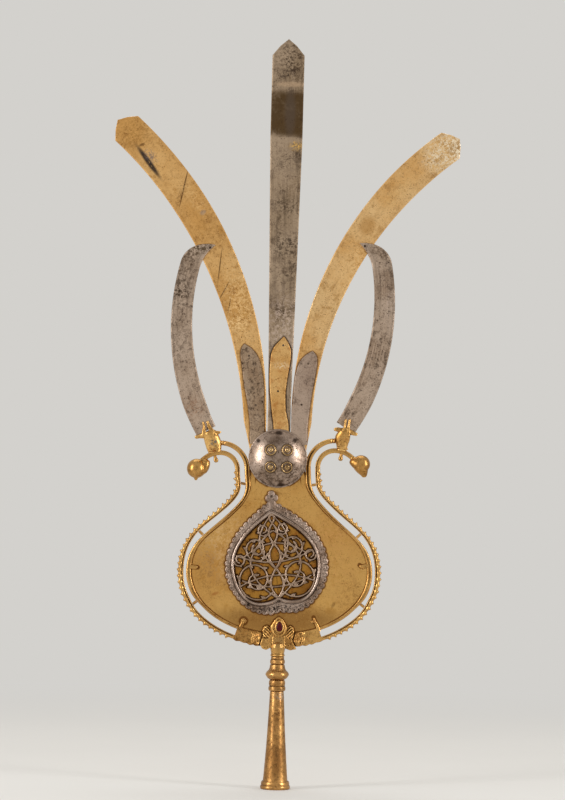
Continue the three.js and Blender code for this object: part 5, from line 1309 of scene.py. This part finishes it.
# %% Sabres
SABRE_BACK, SABRE_THICK = -3.6, 1.8
SABRE_ARC = math.radians(42.4)
SABRE_TIP = (35, 26)           # how far the tip lies ahead of the arc's end, and inward
SABRE_SWELL = (28.6, 2.2, 0.2)                          # root width, gain, and the share that takes it
SABRE_TAPER = (30.8, 3.8)                               # widest, and what it loses up to the arc's end
SABRE_OFFSET = {"left": 2.8, "right": -1.3}
SABRE_MEETS = {"left": (27.2, -2.6), "right": (31.8, 2.7)}


def sabre_edges(side):
    """Outer and inner edge from root to tip, drawn for the right side."""
    sign = SIGN[side]
    foot, axis, aside = hilt_frame[side]
    root = (foot + aside * sign * SABRE_OFFSET[side] + axis * 29) * (sign, 1)
    b = SIDE_BLADE[side]
    degrees, out = SABRE_MEETS[side]
    reach, a = b["radius"] - out, math.radians(degrees)
    meets = np.array([b["shift"] + b["radius"] - reach * math.cos(a) + sign * BOSS[0],
                      b["rise"] + reach * math.sin(a) + BOSS[1]])
    span = meets - root
    ahead, inward = SABRE_TIP
    s, c = math.sin(SABRE_ARC), math.cos(SABRE_ARC)
    chord = np.array([c - 1, s])
    hook = np.array([-s, c]) * ahead - np.array([c, s]) * inward
    qa, qb, qc = chord @ chord, chord @ hook, hook @ hook - span @ span
    radius = (-qb + math.sqrt(qb * qb - qa * qc)) / qa
    level = chord * radius + hook
    turn = math.atan2(level[1], level[0]) - math.atan2(span[1], span[0])
    t = np.linspace(0, 1, 120)
    angle = turn - SABRE_ARC * t
    width, gain, swelling = SABRE_SWELL
    widest, loss = SABRE_TAPER
    half = np.where(t < swelling, width + gain * smoothstep(t, 0, swelling),
                    widest - loss * (t - swelling) / 0.8) / 2
    centre = root + radius * np.stack([np.cos(angle) - math.cos(turn), math.sin(turn) - np.sin(angle)], -1)
    out_ray = np.stack([np.cos(angle), -np.sin(angle)], -1)
    outer_line, inner_line = centre + out_ray * half[:, None], centre - out_ray * half[:, None]
    last = out_ray[-1]
    onward = -right_of(last)
    tip = centre[-1] + onward * ahead - last * inward
    t = np.linspace(0, 1, 40)[1:]
    belly = outer_line[-1] + onward * ahead * 0.65
    outer_tip = cubic([outer_line[-1], belly, tip + last * inward * 0.75, tip], t)
    knee = inner_line[-1] + onward * ahead * 0.45
    inner_tip = cubic([inner_line[-1], (inner_line[-1] + 2 * knee) / 3, (tip + 2 * knee) / 3, tip], t)
    print(side, "sabre radius", round(radius, 1))
    return np.vstack([outer_line, outer_tip]), np.vstack([inner_line, inner_tip])


for side, sign in SIGN.items():
    outer_line, inner_line = (line * (sign, 1) for line in sabre_edges(side))
    sabre = plank(inner_line, outer_line, SABRE_BACK, SABRE_THICK, crown=0.3, bevel=0.9, count=320,
                  seed=21 + sign, nicks=0.4)
    piece(f"sabre_{side}_worn", [sabre], sabre_steel, [f"sabre_{side}"], sharp=40)

# %% [markdown]
# ## Boss
# The boss is a raised dome on a narrow flat rim. A dome hammered from sheet keeps faint dents,
# which pull the two tall gleams out of shape. Below, a skirt fills the step down to the plate.
# The profile is turned about the axis that points at the viewer. Its relief is known from the
# profile: dirt and painted shade lie where the dome meets the rim and just outside each stud's
# ring, the dome darkens a little towards its edge, and the rim itself is rubbed.

# %% Boss
BOSS_BACK, BOSS_RADIUS, BOSS_RIM, BOSS_DOME, BOSS_WALL = -5.1, 39.7, 2.4, 17, 1.6
STUD_MIDDLE, STUD_ASIDE, STUD_ABOVE = 1.4, 11.1, 11.6   # of the studs' square, from the boss's centre
SKIRT_ARC = (-145.8, -34.2)                             # degrees
SKIRT_HALF_DEPTH, SKIRT_MIDDLE = (BOSS_WALL + 3.8) / 2, (-1.3 - 6.3) / 2 - 0.2
cap_radius = BOSS_RADIUS - BOSS_RIM
dome_radius = (cap_radius ** 2 + (BOSS_DOME - BOSS_WALL) ** 2) / (2 * (BOSS_DOME - BOSS_WALL))
dome_centre = BOSS_BACK - BOSS_DOME + dome_radius
inner_radius = dome_radius - BOSS_WALL
cap = np.linspace(0.012, math.asin(cap_radius / dome_radius), 70)
under_cap = np.linspace(math.acos((dome_centre - BOSS_BACK) / inner_radius), 0.012, 30)
profile = [(dome_radius * math.sin(a), dome_centre - dome_radius * math.cos(a)) for a in cap]
profile += [(cap_radius + 0.5, BOSS_BACK - 1.45), (cap_radius + 1.4, BOSS_BACK - 1.6),
            (BOSS_RADIUS - 0.3, BOSS_BACK - 1.3), (BOSS_RADIUS, BOSS_BACK - 0.7), (BOSS_RADIUS, BOSS_BACK)]
profile += [(inner_radius * math.sin(a), dome_centre - inner_radius * math.cos(a)) for a in under_cap]
rings = forward(profile, BOSS)
dent = waves(rings[..., 0], rings[..., 2], 9, 0.22, lengths=(9, 34), count=14)
row = np.arange(len(rings))
rings[..., 1] += dent * (smoothstep(row, 0, 5)[:, None] * (row < len(cap))[:, None])
radius = np.array(profile)[:, :1]
studs = np.array([(BOSS[0] + STUD_MIDDLE + i * STUD_ASIDE, BOSS[1] + k * STUD_ABOVE)
                  for i in (-1, 1) for k in (-1, 1)])
from_stud = np.sqrt(((rings[..., None, [0, 2]] - studs) ** 2).sum(-1)).min(-1)
# Dirt and painted shade in the crease of dome and rim and round each stud's ring; the rim rubbed.
relief = (0.30 * hill(radius, cap_radius + 0.2, 0.8) - 0.35 * hill(radius, BOSS_RADIUS - 0.4, 0.9)
          + 0.5 * hill(from_stud, 8.2, 0.9) + 0.1 * smoothstep(radius, 30, 37))
skirt_path, _ = arc(BOSS, BOSS_RADIUS - BOSS_RIM / 2, *SKIRT_ARC, 80)
skirt = strand(skirt_path, BOSS_RIM / 2, SKIRT_HALF_DEPTH, SKIRT_MIDDLE, power=0.3)
piece("boss_dome_raised", [shell(dressed(rings, relief)), shell(dressed(skirt, 0.2))], boss_steel,
      ["boss_dome"])

# %% [markdown]
# Four studs hold everything together. Each has a round head with a worn dimple in a thin
# raised ring, both set square to the dome, and a low head behind. A profile is turned in a
# small frame whose axis is the dome's own normal there.

# %% Studs and rings
PLATE_HALF, BACK_PLATE = 1.0, 1.5                       # half the plate's thickness; the one behind
REAR = PLATE_HALF + FIT + BACK_PLATE + FIT
STUD_HEAD = [(0.1, -1), (3.8, -1), (4.1, 0.5), (3.7, 1.7), (2.9, 2.5), (1.9, 3.0), (1.1, 2.9), (0.1, 2.6)]
STUD_RING = [(5.5, 0.2), (5.9, 0.9), (6.5, 1.2), (7.1, 1.1), (7.6, 0.6), (7.8, 0.0)]


def on_dome(profile, place, normal):
    """A profile of radius and height turned about a normal at a place on the dome."""
    aside = unit(np.cross(normal, (0, 0, 1.0)))
    above = np.cross(aside, normal)
    r, h = np.array(profile, float).T[..., None, None]
    a = once_round(48)[None, :, None]
    return place + r * (np.cos(a) * aside + np.sin(a) * above) + h * normal


def sunk(radius):
    """How far the dome has dropped below its tangent plane at a distance from the stud."""
    return dome_radius - math.sqrt(dome_radius ** 2 - radius ** 2)


head = refined(STUD_HEAD, step=0.3, soften=2)
seat = [(r, -FIT - sunk(r)) for r in (STUD_RING[-1][0], STUD_RING[0][0])]
hoop = refined([*STUD_RING, *seat, STUD_RING[0]], step=0.25, soften=1)
for vertical, row in (("upper", 1), ("lower", -1)):
    for side, sign in SIGN.items():
        x, z = STUD_MIDDLE + sign * STUD_ASIDE, row * STUD_ABOVE
        rise = math.sqrt(dome_radius ** 2 - x * x - z * z)
        normal = np.array([x, -rise, z]) / dome_radius
        place = np.array([BOSS[0] + x, dome_centre - rise, BOSS[1] + z])
        shaft = forward([(0.1, REAR + 1.2), (2.2, REAR + 1.1), (3.2, REAR), (1.8, REAR),
                         (1.8, place[1] - 0.5), (0.1, place[1] - 0.5)], place[[0, 2]], around=32)
        piece(f"boss_stud_{vertical}_{side}_head", [shell(on_dome(head, place, normal)), shell(shaft)],
              stud_steel, [f"boss_stud_{vertical}_{side}"], depth=0.35)
        piece(f"stud_ring_{vertical}_{side}_filed", [shell(on_dome(hoop, place, normal), hoop=True)],
              stud_steel, [f"stud_ring_{vertical}_{side}"], depth=0.35)

# %% [markdown]
# ## Medallion
# The medallion is pierced silver over a gilded ground. Its border is a ring of small petals,
# each with a punched pit, and a polished bead runs round the opening. Inside, two strands
# cross along a spine and throw off scrolls with pointed leaves, a common arabesque. Border
# and bead are hoops round the opening. The tracery is many strands under one fused skin.

# %% Outlines in the medallion's own frame
MEDALLION = np.array([-4, BELLY[1] + 13])
MEDALLION_LEAN = math.radians(5.9)
MEDALLION_EDGE = dict(half=68.2, top=84, widest=-5, bottom=-67.5, cusp=-63.5, foot=0.22)
OPENING = dict(half=56.4, top=66.8, widest=-2, bottom=-52, cusp=-45.4, foot=0.40)
OPENING_SHIFT = -1.2
MEDALLION_FRONT = -4.5


def turned_flat(flat, angle):
    """Flat points, or a direction, turned anticlockwise by an angle."""
    c, s = math.cos(angle), math.sin(angle)
    return np.stack([flat[..., 0] * c - flat[..., 1] * s, flat[..., 0] * s + flat[..., 1] * c], -1)


def leaned(flat):
    """From the medallion's upright drawing to its place, leaning to the left."""
    return turned_flat(flat, MEDALLION_LEAN) + MEDALLION


def ogee(shape, count, grow=0.0, shift=0.0):
    """A closed loop, pointed above and round below with a cusp in its foot, from three curves
    drawn for the right half and mirrored. grow pushes it outward along its normals."""
    half, top, widest, bottom, cusp = (shape[k] for k in ("half", "top", "widest", "bottom", "cusp"))
    over, under, lowest = top - widest, widest - bottom, shape["foot"] * half
    foot = np.array([0.36 * lowest, bottom])
    curves = (
        [(0, top), (0.45 * half, top - 0.23 * over), (half, widest + 0.46 * over), (half, widest)],
        [(half, widest), (half, widest - 0.53 * under), (lowest + 0.38 * half, bottom), (lowest, bottom)],
        [(lowest, bottom), (2 * foot + (lowest, bottom)) / 3, (2 * foot + (0, cusp)) / 3, (0, cusp)],
    )
    t = np.linspace(0, 1, 200)
    right = np.vstack([cubic(points, t)[min(k, 1):] for k, points in enumerate(curves)])
    right = evenly(right, count // 2 + 1)
    loop = np.vstack([right, right[1:-1][::-1] * (-1, 1)])
    run = unit(np.roll(loop, -1, axis=0) - np.roll(loop, 1, axis=0))
    return loop - right_of(run) * np.asarray(grow).reshape(-1, 1) + (shift, 0)


def opening(count, grow=0.0):
    """The loop of the opening, grown by a distance."""
    return ogee(OPENING, count, grow, OPENING_SHIFT)

# %% Border and bead
PETALS, PETAL_STEPS = 52, 20
AROUND = PETALS * PETAL_STEPS
KNOB_PROFILE = [(0.1, -1.3), (5.0, -1.3), (5.2, -2.6), (4.6, -3.9), (3.2, -4.6), (1.6, -4.9), (0.1, -5.0)]
KNOB_RADIUS = 5.2
petal = np.arange(AROUND) / PETAL_STEPS
chance = np.random.default_rng(12)
petal_size = 0.55 + 0.45 * chance.random(PETALS)[petal.astype(int)]
bulge = np.abs(np.sin(math.pi * petal)) ** 0.7 * petal_size
rim_loop = ogee(MEDALLION_EDGE, AROUND, grow=2.4 * bulge)
hole_loop, bead_out = opening(AROUND), opening(AROUND, 3.9)


def border_height(s, phase, size):
    """Height over the border from its rim (0) to the bead (1). A petal is a dome with a pit,
    and a smaller row of grains, half a step round, fills the band inside."""
    wave = np.abs(np.sin(math.pi * phase)) ** 0.7
    dome = np.clip(1 - ((s - 0.28) / 0.32) ** 2, 0, 1) * (0.5 + 0.5 * wave) * size
    pit = hill(s, 0.26, 0.09) * hill(np.abs(phase % 1 - 0.5), 0, 0.15)
    grains = hill(s, 0.70, 0.10) * np.abs(np.cos(math.pi * phase)) ** 2
    return 0.8 * dome - 0.8 * pit + 0.35 * grains - 0.9 * hill(s, 0.95, 0.06)


s = np.linspace(0, 1, 34)[:, None]
flat = rim_loop[None] * (1 - s[..., None]) + bead_out[None] * s[..., None]
crumbled = waves(flat[..., 0], flat[..., 1], 31, 1.5, lengths=(2.2, 9), count=26)
height = border_height(s, petal[None, :], petal_size[None, :]) + crumbled * smoothstep(-s, -0.9, -0.6)
base = MEDALLION_FRONT + 0.8
front = base - height + (1 - s) ** 8
sections = [(rim_loop, -1.3), (rim_loop, -2.4), *zip(flat, front),
            (hole_loop, base + 0.2), (hole_loop, -2.4), (hole_loop, -1.4)]
border = shell(loop_rings([(leaned(loop), y) for loop, y in sections]), hoop=True)
knob_places = [leaned(np.array([1 + 4 * x, 90 + 4 * z])) for x, z in ((0, 0.8), (-1, -0.6), (1, -0.6))]
knob = refined(KNOB_PROFILE, step=0.4, soften=2)
lobes = [shell(forward(knob, spot, around=48)) for spot in knob_places]
neck_path = leaned(np.linspace((0.4, 76), (0.9, 88), 30))
lobes.append(shell(strand(neck_path, 5.0, 1.6, -3.0)))
piece("medallion_border", [border, *lobes], medallion_silver, ["medallion"], rounds=8)

bead = loop_rings([(leaned(opening(AROUND, 1.9 + 1.65 * math.cos(a))), -4.0 + 1.8 * math.sin(a))
                   for a in once_round(20)])
piece("medallion_bead", [shell(bead, hoop=True)], bead_silver, rounds=6)

# %% [markdown]
# The strands of the tracery are half round above and their ends taper. A leaf is a short
# strand that swells and comes to a point. The strands run a little into the bead, so that
# none of them ends in the air.

# %% Tracery
SPINE_NODES = (-0.933, -0.251, 0.315, 0.78, 1.03)      # where its two strands cross
SPINE_SWELL = (0.155, 0.138, 0.103, 0.06)              # how far they part between the crossings
OGIVES = ((-0.93, 0.62, 0.60), (-0.25, 0.98, 0.34))    # foot, head and swell of wider pairs
GARLANDS = ((-0.10, 0.22, 0.93), (0.33, -0.30, 0.78),  # height, rise and reach
            (-0.66, 0.20, 0.84), (-0.40, -0.22, 0.95))
SCROLLS = (                    # centre, radii, start, turns and way, in shares
    (0.50, -0.467, 0.49, 0.11, 220, 1.6, 1),
    (0.43, 0.23, 0.30, 0.095, 200, 1.5, 1),
    (0.225, 0.647, 0.15, 0.068, 210, 1.1, 1),
    (0.853, 0.015, 0.158, 0.068, 20, 1.2, -1),
)
STRAND, SPINE_STRAND = 1.1, 1.3                        # half widths
STRAND_DEPTH, CROSSING_DEPTH, LEAF_DEPTH = -3.2, -2.9, -3.3
LEAF_EVERY, LEAF_LENGTH, LEAF_HALF = 11, 8.0, 1.9
opening_middle = (OPENING["top"] + OPENING["bottom"]) / 2
opening_half_height = (OPENING["top"] - OPENING["bottom"]) / 2


def in_opening(x, z):
    """A place in the opening, from shares of its half width and half height."""
    return np.stack([np.asarray(x) * OPENING["half"] + OPENING_SHIFT,
                     np.asarray(z) * opening_half_height + opening_middle], -1)


def vine(points, half_width=STRAND, y=STRAND_DEPTH):
    """A half-round strand that swells and thins a little on its way."""
    path = leaned(evenly(points, max(12, int(along(points)[-1] / 0.9))))
    close = soft_ends(along(path), 1, 1)
    swell = 1 + 0.15 * np.sin(along(path) / 3.1)
    return path, shell(strand(path, half_width * close * swell, 1.25 * close, y, around=14, power=0.8))


def leaf(root, run, size):
    """A leaf from root along run: half widths that swell over the first third, then taper."""
    s = np.linspace(-0.25, 0.8, 30)
    path = leaned(root + np.outer(s * LEAF_LENGTH * size, run))
    half = LEAF_HALF * size * np.clip(np.sin(math.pi * (s + 0.25) / 1.05), 0, 1) ** 0.8 + 0.15
    return path, shell(strand(path, half, 0.4 + 0.75 * half / LEAF_HALF, LEAF_DEPTH, around=14))


def scroll(sign, x, z, first, last, start, turns, way):
    """A spiral strand whose radius runs from first to last, with leaves along it and at its end."""
    steps = round(turns * 66)
    share = np.linspace(0, 1, steps + 1)
    angle = math.radians(start) + way * 2 * math.pi * turns * share
    reach = first + (last - first) * share
    points = in_opening(sign * (x + reach * np.cos(angle)), z + reach * np.sin(angle))
    run = unit(np.gradient(points, axis=0))
    size = min(1.0, 0.22 + 2.2 * first)
    made = [vine(points), leaf(points[-1], run[-1], size)]
    for number, k in enumerate(range(LEAF_EVERY // 2, steps - 20, round(LEAF_EVERY / size ** 0.6))):
        outward = sign * way * math.radians(-40 if number % 3 else 45)
        made.append(leaf(points[k], turned_flat(run[k], outward), size))
    return made


drawn = []
for sign in (-1, 1):
    share = np.linspace(0, 1, 24)
    spine = [in_opening(sign * swell * np.sin(math.pi * share), low + (high - low) * share)
             for swell, low, high in zip(SPINE_SWELL, SPINE_NODES, SPINE_NODES[1:])]
    drawn.append(vine(np.vstack(spine), SPINE_STRAND))
    share = np.linspace(0, 1, 60)
    for low, high, swell in OGIVES:
        bow = in_opening(sign * swell * np.sin(math.pi * share) ** 0.9, low + (high - low) * share)
        drawn.append(vine(bow, y=CROSSING_DEPTH))
    for numbers in SCROLLS:
        drawn += scroll(sign, *numbers)
share = np.linspace(-1, 1, 90)
for height, rise, reach in GARLANDS:
    drawn.append(vine(in_opening(share * reach, height + rise * share ** 2), y=CROSSING_DEPTH))
tracery_points = np.vstack([path for path, _ in drawn])
piece("medallion_tracery", [strip for _, strip in drawn], strand_silver, voxel=0.5,
      polish=2, rounds=8, depth=0.35)

# %% [markdown]
# The gilded ground shows through the openings. A painted shadow lies beside the strands and
# along the edge of the opening, so its relief rises to 0.95 over the last few millimetres
# before a strand.

# %% Ground of the medallion
GROUND_BACK = -1.3
GROUND_SHADOW_REACH = 4.6              # how far the painted shadow spreads from a strand
GROUND_AROUND = 420
heart = np.array([OPENING_SHIFT, 7.0])
s = np.concatenate([[1.0], np.linspace(1, 0.01, 64)])[:, None, None]
flat = leaned(heart + (opening(GROUND_AROUND, 3.0) - heart) * s)
# Painted shadow of the strands and of the border, laid on the ground.
painted_shadow = near(flat, np.vstack([tracery_points, leaned(opening(GROUND_AROUND))]), GROUND_SHADOW_REACH)
y = -2.1 - waves(flat[..., 0], flat[..., 1], 44, 0.12, lengths=(8, 24))
y[0] = -1.5
rings = np.concatenate([upright(flat[[-1, 0]], GROUND_BACK), upright(flat, y)])
relief = np.concatenate([np.zeros((2, GROUND_AROUND)), 1.25 * painted_shadow - 0.30])
piece("medallion_ground_sheet", [shell(dressed(rings, relief))], ground_gilt,
      ["medallion_ground"])

# %% [markdown]
# ## Plate
# A hammered sheet is never flat. The plate is a grid of loops that shrink from its edge to
# its middle, and a few slow waves lift it by a fraction of a millimetre, which is what makes
# light slide over it. It is made last, because dirt and painted shade lie along its seam with
# the frame and round everything that is fixed on it, and those outlines are known by now.

# %% Plate
SEAM = (2, 0.6, 0.2, -0.2, -0.6, -1.0, -1.5, -2.2, -3)  # loops outside (+) and inside the edge
FLAT_FROM, FLAT_AT = 352, 392                           # the waves die out between these heights


def plate_loop(reach):
    """The whole edge, pushed outward by reach, from the foot up the right side and down the left."""
    low, low_normals = under_belly(np.linspace(-math.pi / 2, -foot_angle, 60, endpoint=False))
    normals = np.vstack([low_normals, edge_normals[::2]])
    right = np.vstack([low, edge_points[::2]]) + normals * reach
    head = np.array([[NECK[0], NECK[1] + 15.3], [31, NECK[1] + 66]]) + (reach - 2, 0)
    right = np.vstack([right, evenly(head, 30)])
    loop = np.vstack([right, right[1:][::-1] * (-1, 1)])
    loop[:, 0] += neck_lean(loop[:, 1])
    return loop


middle = np.array([0, BELLY[1]])
seam = [plate_loop(reach) for reach in SEAM]
shares = np.linspace(1, 0.015, 76)[1:]
flat = np.array(seam + [middle + (seam[-1] - middle) * share for share in shares])
distance = np.array([*SEAM] + [-9] * len(shares))[:, None]
hammered = waves(flat[..., 0], flat[..., 1], 3, 0.5) * smoothstep(-distance, 1, 9)
hammered = hammered * smoothstep(-flat[..., 1], -FLAT_AT, -FLAT_FROM)

ray = rays(np.linspace(0, 2 * math.pi, 200))
fixed = np.vstack([leaned(rim_loop[::3]), BOSS + ray * BOSS_RADIUS, palmette_loop + PALMETTE,
                   *[spot + ray[::8] * KNOB_RADIUS for spot in knob_places]])
touching = np.vstack([*lug_lines, FOOT_EYELETS[0][0] + ray[::10] * 3.4])
# Darker along the seam with the frame, round the pieces fixed on the plate and under the lugs: dirt and
# painted shade.
seam_dirt_and_shade = hill(distance, -0.35, 0.75) * (0.8 + 0.4 * np.sin(flat[..., 0] / 17 + flat[..., 1] / 29))
seam_dirt_and_shade = seam_dirt_and_shade * smoothstep(-flat[..., 1], -NECK[1] - 4, -NECK[1] + 8)
relief = np.maximum(1.1 * seam_dirt_and_shade, near(flat, fixed, 3.2) - 0.12)
relief = np.maximum(relief, np.minimum(1.7 * near(flat, touching, 4.1), 0.8)) - 0.05

top = dressed(upright(flat, -PLATE_HALF - hammered + 0.22 * hill(distance, -0.2, 0.7)), relief)
few = [0, 1, *range(12, len(flat), 12), len(flat) - 1]
back = dressed(upright(flat, PLATE_HALF - hammered), 0)[few][::-1]
piece("plate_hammered", [shell(np.concatenate([back, top]))], plate_gilt, ["body_plate"])

# %% [markdown]
# ## Floor and light
# The floor is a wide pale disc. Far out it melts into the world's own colour, so no horizon
# crosses the picture from any side. Two tall soft boxes stand left and right in front, which
# draws an upright gleam on each side of every rounded form, and a wide one fills from above.

# %% Floor, world and lamps
PALE = srgb(211, 209, 205)
MELT = (0.6, 1.8)              # metres from the middle between which the floor melts into the world
FLOOR_AROUND = 64
radii = np.array([0.001, 0.3, 0.6, 1, 2, 4, 8, 20, 60]) / MM
disc = radii[:, None, None] * rays(once_round(FLOOR_AROUND))
disc = np.concatenate([disc, np.zeros((len(radii), FLOOR_AROUND, 1))], -1)
points, quads, fans = shell(np.concatenate([disc, disc[::-1] - (0, 0, 10)]))
floor_mesh = bpy.data.meshes.new("floor")
floor_mesh.from_pydata((points * MM).tolist(), [], quads.tolist() + fans.tolist())
floor = added("floor", floor_mesh)

sweep = Tree("pale_floor")
paint = sweep.noise(sweep.mapped((1, 1, 1)), 3, detail=2)
sweep.put(sweep.shader.inputs["Base Color"], sweep.mix(paint, srgb(218, 216, 212), srgb(224, 222, 218)))
sweep.shader.inputs["Roughness"].default_value = 0.8
glow = sweep.nodes.new("ShaderNodeEmission")
glow.inputs["Color"].default_value = PALE
blend = sweep.nodes.new("ShaderNodeMixShader")
sweep.links.new(sweep.band(sweep.length(sweep.place), *MELT), blend.inputs["Fac"])
sweep.links.new(sweep.shader.outputs["BSDF"], blend.inputs[1])
sweep.links.new(glow.outputs["Emission"], blend.inputs[2])
sweep.links.new(blend.outputs["Shader"], sweep.nodes["Material Output"].inputs["Surface"])
floor_mesh.materials.append(sweep.material)

world = bpy.data.worlds.new("studio")
bpy.context.scene.world = world
world.use_nodes = True
world.node_tree.nodes["Background"].inputs["Color"].default_value = PALE
world.node_tree.nodes["Background"].inputs["Strength"].default_value = 1.0


def soft_box(name, place, target, width, height, power):
    """An area lamp that faces target and isn't seen itself."""
    data = bpy.data.lights.new(name, "AREA")
    data.shape = "RECTANGLE"
    data.size, data.size_y, data.energy = width, height, power
    lamp = added(name, data)
    away = unit(np.array(place, float) - target)
    side = unit(np.cross((0, 0, 1), away))
    axes = np.stack([side, np.cross(away, side), away], -1)
    lamp.matrix_world = Matrix([[*row, p] for row, p in zip(axes, place)] + [[0, 0, 0, 1]])
    lamp.visible_camera = False


soft_box("left_box", (-2.02, -1.31, 0.9), (0, 0, 0.65), 0.55, 1.7, 32)
soft_box("right_box", (2.14, -1.12, 0.9), (0, 0, 0.65), 0.48, 1.7, 27)
soft_box("top_box", (0, 0.5, 2.5), (0, 0, 0.5), 1.8, 1.2, 12)
print("floor, world and", len(bpy.data.lights), "lamps")
